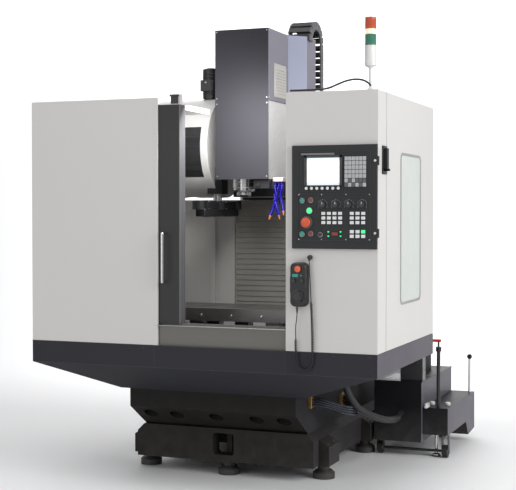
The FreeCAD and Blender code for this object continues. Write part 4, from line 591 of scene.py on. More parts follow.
# ---------------------------------------------------------------------------
# Base casting: gray iron in dark brown-gray machine enamel over a sand-cast skin, with
# slotted clamps on the slanted belly, a hatch rib, levelling pads and oil lines.
# ---------------------------------------------------------------------------
def cast_paint(name, tone, rough, grain=55.0, depth=0.0012, lit_side_tone=None, dust=0.5, wear=0.4,
               gloss=0.5):
    """Machine enamel over a sand-cast skin: soft lumps, fine pits and chipped corners, and faces turned to
    the right painted paler as a lit side when a lit-side tone is given.
    """
    material, tree, shader, add = node_material(name, gloss)
    place = add("ShaderNodeNewGeometry")
    spot = add("ShaderNodeTexCoord")
    lumps = add("ShaderNodeTexNoise", {"Scale": grain, "Detail": 5.0}, Vector=spot.outputs["Object"])
    pits = add("ShaderNodeTexNoise", {"Scale": grain * 9.0, "Detail": 2.0}, Vector=spot.outputs["Object"])
    skin = add("ShaderNodeMath", {"operation": "MULTIPLY_ADD", 1: 0.35})
    tree.links.new(pits.outputs["Fac"], skin.inputs[0])
    tree.links.new(lumps.outputs["Fac"], skin.inputs[2])
    tone_mix = add("ShaderNodeMix", {"data_type": "RGBA", 6: (*[v * 0.86 for v in tone], 1.0),
                                     7: (*[v * 1.14 for v in tone], 1.0)})
    tree.links.new(lumps.outputs["Fac"], tone_mix.inputs["Factor"])
    colour = tone_mix.outputs[2]
    # Painted light: faces turned to the right take the paler lit-side tone.
    if lit_side_tone is not None:
        facing = add("ShaderNodeSeparateXYZ", Vector=place.outputs["True Normal"])
        side = add("ShaderNodeMapRange", {1: 0.5, 2: 0.8}, Value=facing.outputs["X"])
        painted_lit_side = add("ShaderNodeMix", {"data_type": "RGBA", 7: (*lit_side_tone, 1.0)})
        tree.links.new(side.outputs["Result"], painted_lit_side.inputs["Factor"])
        tree.links.new(colour, painted_lit_side.inputs[6])
        colour = painted_lit_side.outputs[2]
    edge = use_group(add, edge_group, Radius=0.005, Breakup=45.0)
    chipped = add("ShaderNodeMath", {"operation": "MULTIPLY", 1: wear})
    tree.links.new(edge.outputs["Mask"], chipped.inputs[0])
    bare = add("ShaderNodeMix", {"data_type": "RGBA", 7: (*[min(1.0, v * 2.2 + 0.05) for v in tone], 1.0)})
    tree.links.new(chipped.outputs["Value"], bare.inputs["Factor"])
    tree.links.new(colour, bare.inputs[6])
    dusty = use_group(add, dust_group, Reach=dust, Speckle=14.0)
    settled = add("ShaderNodeMix", {"data_type": "RGBA", 7: (0.22, 0.20, 0.17, 1.0)})
    less = add("ShaderNodeMath", {"operation": "MULTIPLY", 1: 0.3})
    tree.links.new(dusty.outputs["Mask"], less.inputs[0])
    tree.links.new(less.outputs["Value"], settled.inputs["Factor"])
    tree.links.new(bare.outputs[2], settled.inputs[6])
    tree.links.new(settled.outputs[2], shader.inputs["Base Color"])
    gloss = add("ShaderNodeMapRange", {3: rough - 0.08, 4: rough + 0.1}, Value=lumps.outputs["Fac"])
    tree.links.new(gloss.outputs["Result"], shader.inputs["Roughness"])
    bump = add("ShaderNodeBump", {"Strength": 0.6, "Distance": depth}, Height=skin.outputs["Value"])
    tree.links.new(bump.outputs["Normal"], shader.inputs["Normal"])
    return material


# Painted light: the casting's right-facing faces take a paler lit-side tone.
base_enamel = cast_paint("base_enamel", (0.0085, 0.0078, 0.0074), 0.6, lit_side_tone=(0.022, 0.021, 0.025),
                         gloss=0.15)

# The belly's five cast scoops: a mask by the distance from each scoop's upright axis, inside which the
# hollows are painted near-black as shade.
base_tree = base_enamel.node_tree
base_shader = base_tree.nodes["Principled BSDF"]
scoop_place = base_tree.nodes.new("ShaderNodeTexCoord")
scoop_shade_mask = None
scoop_y, scoop_reach = -0.745, 0.0395
for scoop_x in (-0.388, -0.233, 0.0, 0.233, 0.388):
    flat = base_tree.nodes.new("ShaderNodeVectorMath")
    flat.operation = "MULTIPLY"
    flat.inputs[1].default_value = (1.0, 1.0, 0.0)
    base_tree.links.new(scoop_place.outputs["Object"], flat.inputs[0])
    reach = base_tree.nodes.new("ShaderNodeVectorMath")
    reach.operation = "DISTANCE"
    reach.inputs[1].default_value = (scoop_x, scoop_y, 0.0)
    base_tree.links.new(flat.outputs["Vector"], reach.inputs[0])
    inside = base_tree.nodes.new("ShaderNodeMath")
    inside.operation = "LESS_THAN"
    inside.inputs[1].default_value = scoop_reach
    base_tree.links.new(reach.outputs["Value"], inside.inputs[0])
    if scoop_shade_mask is not None:
        joined = base_tree.nodes.new("ShaderNodeMath")
        joined.operation = "MAXIMUM"
        base_tree.links.new(scoop_shade_mask, joined.inputs[0])
        base_tree.links.new(inside.outputs["Value"], joined.inputs[1])
        inside = joined
    scoop_shade_mask = inside.outputs["Value"]
# Painted shade: inside the scoops the enamel turns near-black.
scoop_painted_shade = base_tree.nodes.new("ShaderNodeMix")
scoop_painted_shade.data_type = "RGBA"
scoop_painted_shade.inputs[7].default_value = (0.0015, 0.0014, 0.0013, 1.0)
base_tree.links.new(scoop_shade_mask, scoop_painted_shade.inputs["Factor"])
base_tree.links.new(base_shader.inputs["Base Color"].links[0].from_socket, scoop_painted_shade.inputs[6])
base_tree.links.new(scoop_painted_shade.outputs[2], base_shader.inputs["Base Color"])
finish_node("base_casting", base_enamel)
pad_finish = cast_paint("levelling_pad_black", (0.018, 0.018, 0.019), 0.55, grain=90.0, depth=0.0005)
finish_node("levelling_feet", pad_finish)

# Clamp bolts on the belly's slots, one beside each cast scoop.
bolt_black = painted("black_oxide_bolt", (0.03, 0.03, 0.032), rough=0.35, spread=0.15, metallic=0.6,
                     dust=0.3)
bed_bolts = bmesh.new()
for foot_x in (-0.555, 0.555):
    for foot_y in (-0.53, -0.43, 0.26, 0.36, 0.77, 0.86):
        add_disc(bed_bolts, "Z", (foot_x, foot_y, 0.183), [(0.016, 0.0), (0.016, 0.012), (0.0135, 0.0155),
                                                          (0.004, 0.0158)], 6)
make_piece("foot_bolts", bed_bolts, bolt_black, "frame", smooth=False)

# Bundle of oil and air lines that runs back along the right of the base.
line_finish = painted("glossy_hose", (0.018, 0.02, 0.032), rough=0.22, spread=0.2, wear=0.0, dust=0.05)
brass = painted("brass_fitting", (0.45, 0.30, 0.10), rough=0.3, spread=0.12, metallic=0.9, wear=0.1,
                dust=0.05)


def tube_piece(name, points, radius, material, body, sides=10):
    """Pipe that follows a smooth line through the points given."""
    line = centre_line(points)
    mesh = bmesh.new()
    rings = []
    side_way = (line[1] - line[0]).orthogonal().normalized()
    for index, place in enumerate(line):
        heading = (line[min(index + 1, len(line) - 1)] - line[max(index - 1, 0)]).normalized()
        side_way = (side_way - heading * side_way.dot(heading)).normalized()
        other = heading.cross(side_way)
        rings.append([mesh.verts.new(place + radius * (math.cos(turn) * side_way + math.sin(turn) * other))
                      for turn in [2.0 * math.pi * side / sides for side in range(sides)]])
    for first, second in zip(rings, rings[1:]):
        for side in range(sides):
            after = (side + 1) % sides
            mesh.faces.new((first[side], first[after], second[after], second[side]))
    mesh.faces.new(list(reversed(rings[0])))
    mesh.faces.new(rings[-1])
    return make_piece(name, mesh, material, body)


for index in range(4):
    lift = 0.013 * index
    tube_piece("oil_line_%d" % (index + 1),
               [(0.49, -0.585 - 0.01 * index, 0.452 - lift), (0.545, -0.60, 0.448 - lift),
                (0.60, -0.575 + 0.012 * index, 0.425 - lift), (0.655, -0.50, 0.395 - lift),
                (0.675, -0.36, 0.375 - lift), (0.63, -0.22, 0.37 - lift), (0.555, -0.12, 0.38 - lift),
                (0.482, -0.06, 0.39 - lift)],
               0.0058, line_finish, "frame")
line_blocks = bmesh.new()
add_box(line_blocks, (0.480, 0.500), (-0.625, -0.575), (0.395, 0.468))
add_box(line_blocks, (0.480, 0.500), (-0.085, -0.035), (0.330, 0.404))
make_piece("oil_line_blocks", line_blocks, brass, "frame", bevel=0.002)

# ---------------------------------------------------------------------------
# Door opening: a folded sill of olive-gray satin steel below it, and the sliding door's
# dark stile with a narrow dark gray seal strip and a bright chromed handle.
# ---------------------------------------------------------------------------
sill_finish = painted("sill_satin_steel", (0.135, 0.132, 0.120), rough=0.34, spread=0.05, wear=0.5,
                      bare=(0.42, 0.41, 0.39), metallic=0.35, dust=0.2)
finish_node("front_sill", sill_finish)
# Painted highlight: a thin bright zinc strip along the sill's top edge stands in for the light that edge
# catches.
sill_highlight_strip = bmesh.new()
add_box(sill_highlight_strip, (-0.236, 0.493), (guard_front - 0.001, guard_front + 0.012), (0.8475, 0.8505))
make_piece("sill_edge_painted_highlight", sill_highlight_strip, screw_steel, "frame", bevel=0.0008)

# Painted light: the stile's right-facing faces take a paler lit-side tone.
stile_paint = painted("stile_powder_coat", (0.036, 0.036, 0.036), gloss=0.25, rough=0.5, spread=0.06,
                      wear=0.3, lit_side_tone=(0.10, 0.10, 0.105), dust=0.2)
finish_node("door_stile", stile_paint)
stile_low, stile_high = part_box("door_stile")
seal_finish = painted("door_seal_gray", (0.11, 0.11, 0.115), rough=0.5, spread=0.08, wear=0.2, dust=0.3)
seal = bmesh.new()
add_box(seal, (stile_high.x - 0.003, stile_high.x + 0.002), (stile_low.y - 0.0015, stile_low.y + 0.013),
        (stile_low.z + 0.002, stile_high.z - 0.002))
make_piece("door_seal_strip", seal, seal_finish, "door", bevel=0.001)

chrome, chrome_tree, chrome_shader, chrome_add = node_material("bright_chrome")
chrome_smear = chrome_add("ShaderNodeTexNoise", {"Scale": 24.0, "Detail": 5.0})
chrome_tone = chrome_add("ShaderNodeMix", {"data_type": "RGBA", 6: (0.62, 0.62, 0.63, 1.0),
                                           7: (0.80, 0.80, 0.80, 1.0)})
chrome_tree.links.new(chrome_smear.outputs["Fac"], chrome_tone.inputs["Factor"])
chrome_tree.links.new(chrome_tone.outputs[2], chrome_shader.inputs["Base Color"])
chrome_gloss = chrome_add("ShaderNodeMapRange", {3: 0.10, 4: 0.24}, Value=chrome_smear.outputs["Fac"])
chrome_tree.links.new(chrome_gloss.outputs["Result"], chrome_shader.inputs["Roughness"])
chrome_shader.inputs["Metallic"].default_value = 1.0
finish_node("door_handle", chrome)

leaf_gasket = bmesh.new()
leaf_low, leaf_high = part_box("door_window")
frame_ring(leaf_gasket, lambda u, v, d: Vector(((leaf_low.x + leaf_high.x) / 2.0 + u, stile_low.y - d,
                                                (leaf_low.z + leaf_high.z) / 2.0 + v)),
           (leaf_high.x - leaf_low.x) / 2.0 - 0.012, (leaf_high.z - leaf_low.z) / 2.0 - 0.012,
           0.046, 0.014, 0.004)
make_piece("door_pane_gasket", leaf_gasket, gasket_rubber, "door")
roof_bracket = bmesh.new()
add_box(roof_bracket, (-0.150, -0.112), (-0.990, -0.950), (1.997, 2.046))
add_box(roof_bracket, (-0.155, -0.107), (-0.995, -0.945), (2.040, 2.050))
make_piece("roof_roller_bracket", roof_bracket, bolt_black, "door", bevel=0.002)

# ---------------------------------------------------------------------------
# Covers over the ways. Folded stainless plates overlap like shingles on the column and
# nest in each other on the bed; each plate has a turned-down wiper edge.
# ---------------------------------------------------------------------------
grain_group, grain_in, grain_out, grain_add = new_group(
    "brushed_grain", {"Across": 6.0, "Along": 900.0}, {"Height": "Float", "Streak": "Float"})
grain_place = grain_add("ShaderNodeTexCoord")
grain_split = grain_add("ShaderNodeSeparateXYZ", Vector=grain_place.outputs["Object"])
grain_x = grain_add("ShaderNodeMath", {"operation": "MULTIPLY"})
grain_group.links.new(grain_split.outputs["X"], grain_x.inputs[0])
grain_group.links.new(grain_in.outputs["Across"], grain_x.inputs[1])
grain_z = grain_add("ShaderNodeMath", {"operation": "MULTIPLY"})
grain_group.links.new(grain_split.outputs["Z"], grain_z.inputs[0])
grain_group.links.new(grain_in.outputs["Along"], grain_z.inputs[1])
grain_y = grain_add("ShaderNodeMath", {"operation": "MULTIPLY"})
grain_group.links.new(grain_split.outputs["Y"], grain_y.inputs[0])
grain_group.links.new(grain_in.outputs["Along"], grain_y.inputs[1])
grain_join = grain_add("ShaderNodeCombineXYZ", X=grain_x.outputs["Value"], Y=grain_y.outputs["Value"],
                       Z=grain_z.outputs["Value"])
grain_noise = grain_add("ShaderNodeTexNoise", {"Scale": 1.0, "Detail": 3.0},
                        Vector=grain_join.outputs["Vector"])
grain_wide = grain_add("ShaderNodeTexNoise", {"Scale": 4.0, "Detail": 5.0},
                       Vector=grain_place.outputs["Object"])
grain_group.links.new(grain_noise.outputs["Fac"], grain_out.inputs["Height"])
grain_group.links.new(grain_wide.outputs["Fac"], grain_out.inputs["Streak"])


def brushed(name, tone, rough, metallic=0.9, streak=0.25):
    """Bare metal with a brushed or ground grain and dull streaks where coolant dried."""
    material, tree, shader, add = node_material(name)
    grain = use_group(add, grain_group, Across=5.0, Along=700.0)
    mix = add("ShaderNodeMix", {"data_type": "RGBA", 6: (*[v * (1.0 - streak) for v in tone], 1.0),
                                7: (*[min(1.0, v * (1.0 + streak)) for v in tone], 1.0)})
    tree.links.new(grain.outputs["Streak"], mix.inputs["Factor"])
    tree.links.new(mix.outputs[2], shader.inputs["Base Color"])
    gloss = add("ShaderNodeMapRange", {3: rough - 0.08, 4: rough + 0.12}, Value=grain.outputs["Streak"])
    tree.links.new(gloss.outputs["Result"], shader.inputs["Roughness"])
    bump = add("ShaderNodeBump", {"Strength": 0.3, "Distance": 0.0002}, Height=grain.outputs["Height"])
    tree.links.new(bump.outputs["Normal"], shader.inputs["Normal"])
    shader.inputs["Metallic"].default_value = metallic
    return material


cover_steel = brushed("way_cover_steel", (0.29, 0.275, 0.25), 0.5, metallic=0.15)
slat_low, slat_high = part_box("slat_cover")
slat_count = 21
slat_pitch = (slat_high.z - slat_low.z) / slat_count
slats = bmesh.new()
for row in range(slat_count):
    foot = slat_low.z + row * slat_pitch
    top = min(foot + slat_pitch + 0.006, slat_high.z)
    plate = add_box(slats, (slat_low.x, slat_high.x), (slat_low.y, slat_low.y + 0.002), (foot, top))
    for vertex in plate:
        if vertex.co.z > foot + slat_pitch / 2.0:
            vertex.co.y += 0.0055
    add_box(slats, (slat_low.x, slat_high.x), (slat_low.y, slat_low.y + 0.006), (foot, foot + 0.003))
slat_piece = make_piece("column_slats", slats, cover_steel, None, bevel=0.0006)
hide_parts("slat_cover")
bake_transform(slat_piece)


def nested_cover(name, node, still_y, moving_y, plates=5):
    """Telescopic cover over the bed: each plate is a little larger than the one inside it."""
    box_low, box_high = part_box(node)
    mesh = bmesh.new()
    for index in range(plates):
        inset = 0.004 * index
        near = still_y + (moving_y - still_y) * index / plates
        far = still_y + (moving_y - still_y) * min(1.0, (index + 1.25) / plates)
        span = (min(near, far), max(near, far))
        add_box(mesh, (box_low.x + inset, box_high.x - inset), span,
                (box_high.z - 0.003 - inset, box_high.z - inset))
        for side in (-1.0, 1.0):
            wall = side * (box_high.x - inset)
            add_box(mesh, (min(wall, wall - side * 0.002), max(wall, wall - side * 0.002)), span,
                    (box_low.z, box_high.z - inset))
    piece = make_piece(name, mesh, cover_steel, None, bevel=0.0008)
    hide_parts(node)
    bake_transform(piece)
    return piece


front_low, front_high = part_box("way_cover_front")
rear_low, rear_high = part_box("way_cover_rear")
nested_cover("front_bed_cover", "way_cover_front", front_low.y, front_high.y)
nested_cover("rear_bed_cover", "way_cover_rear", rear_high.y, rear_low.y)

# ---------------------------------------------------------------------------
# Table, saddle and drives. The table is ground cast iron with three T-slots; the saddle and
# column are pale painted castings, the rails and screws hardened and ground steel.
# ---------------------------------------------------------------------------
table_iron = brushed("ground_table_iron", (0.20, 0.195, 0.19), 0.36, metallic=0.75, streak=0.2)
finish_node("table", table_iron)
for ground_node in ("linear_rails", "table_screw", "saddle_screw", "head_screw", "arm_shaft", "spindle"):
    finish_node(ground_node, brushed(ground_node + "_ground_steel", (0.55, 0.55, 0.55), 0.25))
pale_casting = cast_paint("pale_machine_enamel", (0.58, 0.575, 0.57), 0.42, grain=40.0, depth=0.0008,
                          dust=0.6, wear=0.2)
for casting_node in ("saddle", "column", "head_casting"):
    finish_node(casting_node, pale_casting)
motor_black = cast_paint("motor_black_enamel", (0.016, 0.016, 0.018), 0.36, grain=120.0, depth=0.0004)
for motor_node in ("axis_motors", "spindle_motor", "coolant_pump", "cam_box"):
    finish_node(motor_node, motor_black)
screw_heads("table_end_screws", [(x, -0.5405, 0.866) for x in (-0.36, -0.18, 0.0, 0.18, 0.36)], "Y",
            -0.0085, "table", -0.0035)

# ---------------------------------------------------------------------------
# Head cover: a tall folded hood over the spindle motor. Its colour goes by which way a face
# turns: the front is dark, the slanted corner a paler blue-gray, and the right side is painted
# paler as its lit side; the vent plate is a paler coat, and screws hold the sheets along their edges.
# ---------------------------------------------------------------------------
hood_paint, hood_tree, hood_shader, hood_add = node_material("hood_powder_coat")
hood_place = hood_add("ShaderNodeNewGeometry")
hood_facing = hood_add("ShaderNodeSeparateXYZ", Vector=hood_place.outputs["True Normal"])
hood_right = hood_add("ShaderNodeMath", {"operation": "ADD", 1: -0.05},
                      Value=hood_facing.outputs["X"])
# Painted light: the ramp gives the right-facing side a paler lit-side tone than the dark front.
hood_tone = hood_add("ShaderNodeValToRGB", Fac=hood_right.outputs["Value"])
hood_tone.color_ramp.interpolation = "CONSTANT"
hood_tone.color_ramp.elements[0].color = (0.046, 0.0445, 0.052, 1.0)
hood_tone.color_ramp.elements[1].position = 0.5
hood_tone.color_ramp.elements[1].color = (0.32, 0.335, 0.43, 1.0)
hood_side_tone = hood_tone.color_ramp.elements.new(0.9)
hood_side_tone.color = (0.25, 0.245, 0.285, 1.0)
hood_coat = use_group(hood_add, coat_group, Peel=420.0, Cloud=2.2)
hood_cloud = hood_add("ShaderNodeMapRange", {3: 0.92, 4: 1.06}, Value=hood_coat.outputs["Cloud"])
hood_shade = hood_add("ShaderNodeVectorMath", {"operation": "SCALE"}, Scale=hood_cloud.outputs["Result"])
hood_tree.links.new(hood_tone.outputs["Color"], hood_shade.inputs[0])
hood_edge = use_group(hood_add, edge_group, Radius=0.003, Breakup=70.0)
hood_worn = hood_add("ShaderNodeMix", {"data_type": "RGBA", 7: (0.05, 0.05, 0.055, 1.0)})
hood_less = hood_add("ShaderNodeMath", {"operation": "MULTIPLY", 1: 0.1})
hood_tree.links.new(hood_edge.outputs["Mask"], hood_less.inputs[0])
hood_tree.links.new(hood_less.outputs["Value"], hood_worn.inputs["Factor"])
hood_tree.links.new(hood_shade.outputs["Vector"], hood_worn.inputs[6])
hood_tree.links.new(hood_worn.outputs[2], hood_shader.inputs["Base Color"])
hood_bump = hood_add("ShaderNodeBump", {"Strength": 0.5, "Distance": 0.00025},
                     Height=hood_coat.outputs["Height"])
hood_tree.links.new(hood_bump.outputs["Normal"], hood_shader.inputs["Normal"])
hood_shader.inputs["Roughness"].default_value = 0.62
hood_shader.inputs["Specular IOR Level"].default_value = 0.12
finish_node("head_cover", hood_paint)

hood_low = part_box("head_cover")[0]
hood_side_x = 0.182
vent_paint = painted("vent_plate_beige", (0.50, 0.485, 0.45), rough=0.5, spread=0.05, wear=0.3, dust=0.05)
vent_low, vent_high = (-0.349, 2.086), (-0.155, 2.272)
vent_plate = bmesh.new()
add_box(vent_plate, (hood_side_x, hood_side_x + 0.002), (vent_low[0], vent_high[0]),
        (vent_low[1], vent_high[1]))
for row in range(9):
    level = vent_low[1] + 0.022 + row * 0.0165
    hood_slat = add_box(vent_plate, (hood_side_x + 0.0015, hood_side_x + 0.0055),
                        (vent_low[0] + 0.022, vent_high[0] - 0.022), (level, level + 0.010))
    for vertex in hood_slat:
        if vertex.co.z > level + 0.005:
            vertex.co.x = hood_side_x + 0.0018
make_piece("hood_vent_plate", vent_plate, vent_paint, "head", bevel=0.0006)
hood_screws = [(hood_side_x + 0.002, y, z) for y in (vent_low[0] + 0.008, vent_high[0] - 0.008)
               for z in (vent_low[1] + 0.008, vent_high[1] - 0.008)]
hood_screws += [(hood_side_x, y, z) for y in (-0.425, -0.135) for z in (2.075, 2.26, 2.445)]
screw_heads("hood_screws", hood_screws, "X", 0.0042, "head")
hood_lines = bmesh.new()
add_box(hood_lines, (hood_side_x - 0.001, hood_side_x + 0.0006), (-0.435, -0.122), (2.0585, 2.0605))
add_box(hood_lines, (-0.1386, 0.1826), (hood_low.y - 0.0006, hood_low.y + 0.001), (2.0595, 2.0605))
make_piece("hood_sheet_joint", hood_lines, shadow_gap, "head", smooth=False)
screw_heads("hood_front_screws",
            [(x, hood_low.y, z) for x in (-0.128, 0.172) for z in (1.64, 2.045, 2.075, 2.445)],
            "Y", -0.0036, "head", -0.0016)

# ---------------------------------------------------------------------------
# Spindle nose: a turned and chromed cartridge with a ring of cap screws, the spindle's face
# with its two drive keys, and a black sensor block to its right.
# ---------------------------------------------------------------------------
finish_node("spindle_cartridge", chrome)
nose_low, nose_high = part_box("spindle_cartridge")
nose_middle = (nose_low + nose_high) / 2.0
nose_screws = []
for index in range(8):
    turn = math.radians(22.5 + 45.0 * index)
    nose_screws.append((nose_middle.x + 0.052 * math.cos(turn), nose_middle.y + 0.052 * math.sin(turn),
                        nose_low.z))
cartridge_screws = bmesh.new()
for place in nose_screws:
    add_disc(cartridge_screws, "Z", (place[0], place[1], place[2] - 0.003),
             [(0.0015, 0.0015), (0.0028, 0.0), (0.004, 0.0005), (0.004, 0.003)], 14)
make_piece("cartridge_screws", cartridge_screws, bolt_black, "head")
nose_rings = bmesh.new()
for level, radius in ((1.575, 0.0674), (1.606, 0.0674)):
    add_disc(nose_rings, "Z", (nose_middle.x, nose_middle.y, level),
             [(0.0660, 0.0), (radius, 0.001), (radius, 0.004), (0.0660, 0.005)], 64)
make_piece("nose_rings", nose_rings, screw_steel, "head")
drive_keys = bmesh.new()
for side in (-1.0, 1.0):
    add_box(drive_keys, (side * 0.034 - 0.0075, side * 0.034 + 0.0075),
            (nose_middle.y - 0.0079, nose_middle.y + 0.0079), (1.529, 1.5375))
make_piece("drive_keys", drive_keys, screw_steel, "spindle", bevel=0.0008)
sensor = bmesh.new()
add_box(sensor, (0.078, 0.176), (-0.405, -0.300), (1.5705, 1.6245))
add_box(sensor, (0.092, 0.120), (-0.412, -0.405), (1.580, 1.600))
make_piece("sensor_block", sensor, motor_black, "head", bevel=0.003)
heel_covers = bmesh.new()
add_box(heel_covers, (-0.1365, 0.1826), (-0.1776, -0.1751), (1.5290, 1.6245))
add_box(heel_covers, (0.1803, 0.1826), (-0.1776, 0.0395), (1.5290, 1.6245))
add_box(heel_covers, (-0.1655, 0.1655), (0.0372, 0.0398), (1.5145, 1.5285))
make_piece("heel_covers", heel_covers, motor_black, "head", smooth=False)

# ---------------------------------------------------------------------------
# Coolant nozzles: a pale manifold under the head with orange swivel fittings, and three
# snap-together ball-joint hoses of saturated blue plastic that twist down to orange tips.
# ---------------------------------------------------------------------------
def moulded(name, tone, rough=0.35, spread=0.1, depth=0.0002, grain=300.0):
    """Moulded plastic: a fine spark-eroded texture and a slightly uneven gloss."""
    material, tree, shader, add = node_material(name)
    place = add("ShaderNodeTexCoord")
    speck = add("ShaderNodeTexNoise", {"Scale": grain, "Detail": 2.0}, Vector=place.outputs["Object"])
    patch = add("ShaderNodeTexNoise", {"Scale": 16.0, "Detail": 3.0}, Vector=place.outputs["Object"])
    mix = add("ShaderNodeMix", {"data_type": "RGBA", 6: (*[v * (1.0 - spread) for v in tone], 1.0),
                                7: (*[min(1.0, v * (1.0 + spread)) for v in tone], 1.0)})
    tree.links.new(patch.outputs["Fac"], mix.inputs["Factor"])
    tree.links.new(mix.outputs[2], shader.inputs["Base Color"])
    gloss = add("ShaderNodeMapRange", {3: rough - 0.06, 4: rough + 0.08}, Value=patch.outputs["Fac"])
    tree.links.new(gloss.outputs["Result"], shader.inputs["Roughness"])
    bump = add("ShaderNodeBump", {"Strength": 0.35, "Distance": depth}, Height=speck.outputs["Fac"])
    tree.links.new(bump.outputs["Normal"], shader.inputs["Normal"])
    return material


blue_plastic = moulded("hose_blue_plastic", (0.012, 0.004, 0.36), rough=0.28)
orange_plastic = moulded("fitting_orange_plastic", (0.78, 0.24, 0.10), rough=0.32)
manifold_paint = moulded("manifold_pale_plastic", (0.70, 0.56, 0.52), rough=0.4)
manifold = bmesh.new()
add_box(manifold, (0.181, 0.243), (-0.372, -0.322), (1.609, 1.634))
manifold_piece = make_piece("coolant_manifold", manifold, manifold_paint, "head",
                            bevel=0.004)
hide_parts("coolant_nozzles")
hose_routes = (
    ((0.194, -0.352, 1.609), (0.186, -0.356, 1.575), (0.205, -0.352, 1.530), (0.180, -0.345, 1.475),
     (0.162, -0.352, 1.421)),
    ((0.212, -0.340, 1.609), (0.206, -0.336, 1.570), (0.178, -0.345, 1.530), (0.200, -0.352, 1.475),
     (0.211, -0.350, 1.424)),
    ((0.230, -0.350, 1.609), (0.232, -0.352, 1.570), (0.214, -0.344, 1.530), (0.230, -0.340, 1.485),
     (0.236, -0.346, 1.446)),
)
for number, route in enumerate(hose_routes, start=1):
    line = centre_line(route)
    beads = bmesh.new()
    travelled, next_bead, last = 0.0, 0.004, line[0]
    for place in line[1:]:
        run = (place - last).length
        while next_bead <= travelled + run:
            spot = last.lerp(place, (next_bead - travelled) / run)
            turn = (place - last).to_track_quat("Z", "Y").to_matrix().to_4x4()
            ring = add_disc(beads, "Z", (0.0, 0.0, 0.0),
                            [(0.0055, -0.0052), (0.0088, -0.0034), (0.0096, 0.0),
                                                         (0.0083, 0.0032), (0.0055, 0.0048)], 16)
            for vertex in ring:
                vertex.co = Matrix.Translation(spot) @ turn @ vertex.co
            next_bead += 0.0094
        travelled += run
        last = place
    make_piece("blue_hose_%d" % number, beads, blue_plastic, "head")
    tips = bmesh.new()
    add_disc(tips, "Z", (route[0][0], route[0][1], route[0][2] - 0.007),
             [(0.0080, 0.0), (0.0092, 0.002), (0.0092, 0.007)], 6)
    aim = (Vector(route[-1]) - Vector(route[-2])).to_track_quat("Z", "Y").to_matrix().to_4x4()
    cone = add_disc(tips, "Z", (0.0, 0.0, 0.0), [(0.0076, -0.002), (0.0076, 0.003), (0.0042, 0.012),
                                                 (0.0034, 0.024), (0.0026, 0.024)], 20)
    for vertex in cone:
        vertex.co = Matrix.Translation(Vector(route[-1])) @ aim @ vertex.co
    make_piece("orange_nozzle_%d" % number, tips, orange_plastic, "head")

# ---------------------------------------------------------------------------
# Tool changer: a rolled pale drum cover with a smoked window, the black cam box and motors,
# the tool disc with its pots, and the hardened exchange arm under the drum.
# ---------------------------------------------------------------------------
drum_paint = painted("drum_powder_coat", (0.66, 0.65, 0.63), rough=0.38, spread=0.03, wear=0.3, dust=0.05)
finish_node("drum_cover", drum_paint)
finish_node("tool_disc", table_iron)
finish_node("tilting_pot", table_iron)
finish_node("exchange_arm", motor_black)
drum_low, drum_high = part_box("drum_cover")
drum_centre = Vector((0.0, (drum_low.y + drum_high.y) / 2.0, (drum_low.z + drum_high.z) / 2.0))
drum_radius = (drum_high.y - drum_low.y) / 2.0


def add_ring(mesh, axis_x, centre, profile, sides=96):
    """Add a hoop about the X axis: a closed profile of (radius, x) corners."""
    rings = []
    for side in range(sides):
        turn = 2.0 * math.pi * side / sides
        rings.append([mesh.verts.new((axis_x + along, centre.y + radius * math.cos(turn),
                                      centre.z + radius * math.sin(turn))) for radius, along in profile])
    for side in range(sides):
        first, second = rings[side], rings[(side + 1) % sides]
        for index in range(len(profile)):
            after = (index + 1) % len(profile)
            mesh.faces.new((first[index], first[after], second[after], second[index]))


drum_rims = bmesh.new()
for rim_x, way in ((drum_high.x, -1.0), (drum_low.x, 1.0)):
    add_ring(drum_rims, rim_x, drum_centre,
             [(drum_radius - 0.014, 0.0), (drum_radius - 0.004, -way * 0.003),
                                             (drum_radius, 0.0), (drum_radius, way * 0.016),
                                             (drum_radius - 0.004, way * 0.016)])
make_piece("drum_rims", drum_rims, drum_paint, "frame")
smoked = window_finish("smoked_drum_window", (0.030, 0.030, 0.032), 0.95)
drum_pane = bmesh.new()
pane_rows = []
for step in range(17):
    level = 1.636 + (1.930 - 1.636) * step / 16.0
    depth_y = drum_centre.y - math.sqrt((drum_radius - 0.004) ** 2 - (level - drum_centre.z) ** 2)
    pane_rows.append([drum_pane.verts.new((x, depth_y + d, level)) for x, d in
                      ((-0.505, 0.0), (-0.246, 0.0), (-0.246, 0.003), (-0.505, 0.003))])
for first, second in zip(pane_rows, pane_rows[1:]):
    for index in range(4):
        after = (index + 1) % 4
        drum_pane.faces.new((first[index], first[after], second[after], second[index]))
drum_pane.faces.new(pane_rows[0])
drum_pane.faces.new(list(reversed(pane_rows[-1])))
make_piece("drum_window_pane", drum_pane, smoked, "frame")
arm_low, arm_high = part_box("exchange_arm")
arm_middle = (arm_low + arm_high) / 2.0
arm_cap = bmesh.new()
add_disc(arm_cap, "Z", (arm_middle.x, arm_middle.y, arm_low.z - 0.044),
         [(0.026, 0.0), (0.030, 0.003), (0.030, 0.0085)], 40)
for side in (-1.0, 1.0):
    add_box(arm_cap, (arm_middle.x - 0.018, arm_middle.x + 0.018),
            (arm_middle.y + side * 0.13 - 0.045, arm_middle.y + side * 0.13 + 0.045),
            (arm_low.z - 0.0425, arm_low.z - 0.038))
arm_belly = bmesh.new()
add_box(arm_belly, (arm_middle.x - 0.030, arm_middle.x + 0.030), (arm_low.y + 0.045, arm_high.y - 0.045),
        (arm_low.z - 0.040, arm_low.z + 0.0045))
make_piece("arm_belly", arm_belly, motor_black, "exchange_arm", bevel=0.005)
make_piece("arm_cap_plates", arm_cap, screw_steel, "exchange_arm", bevel=0.0012)
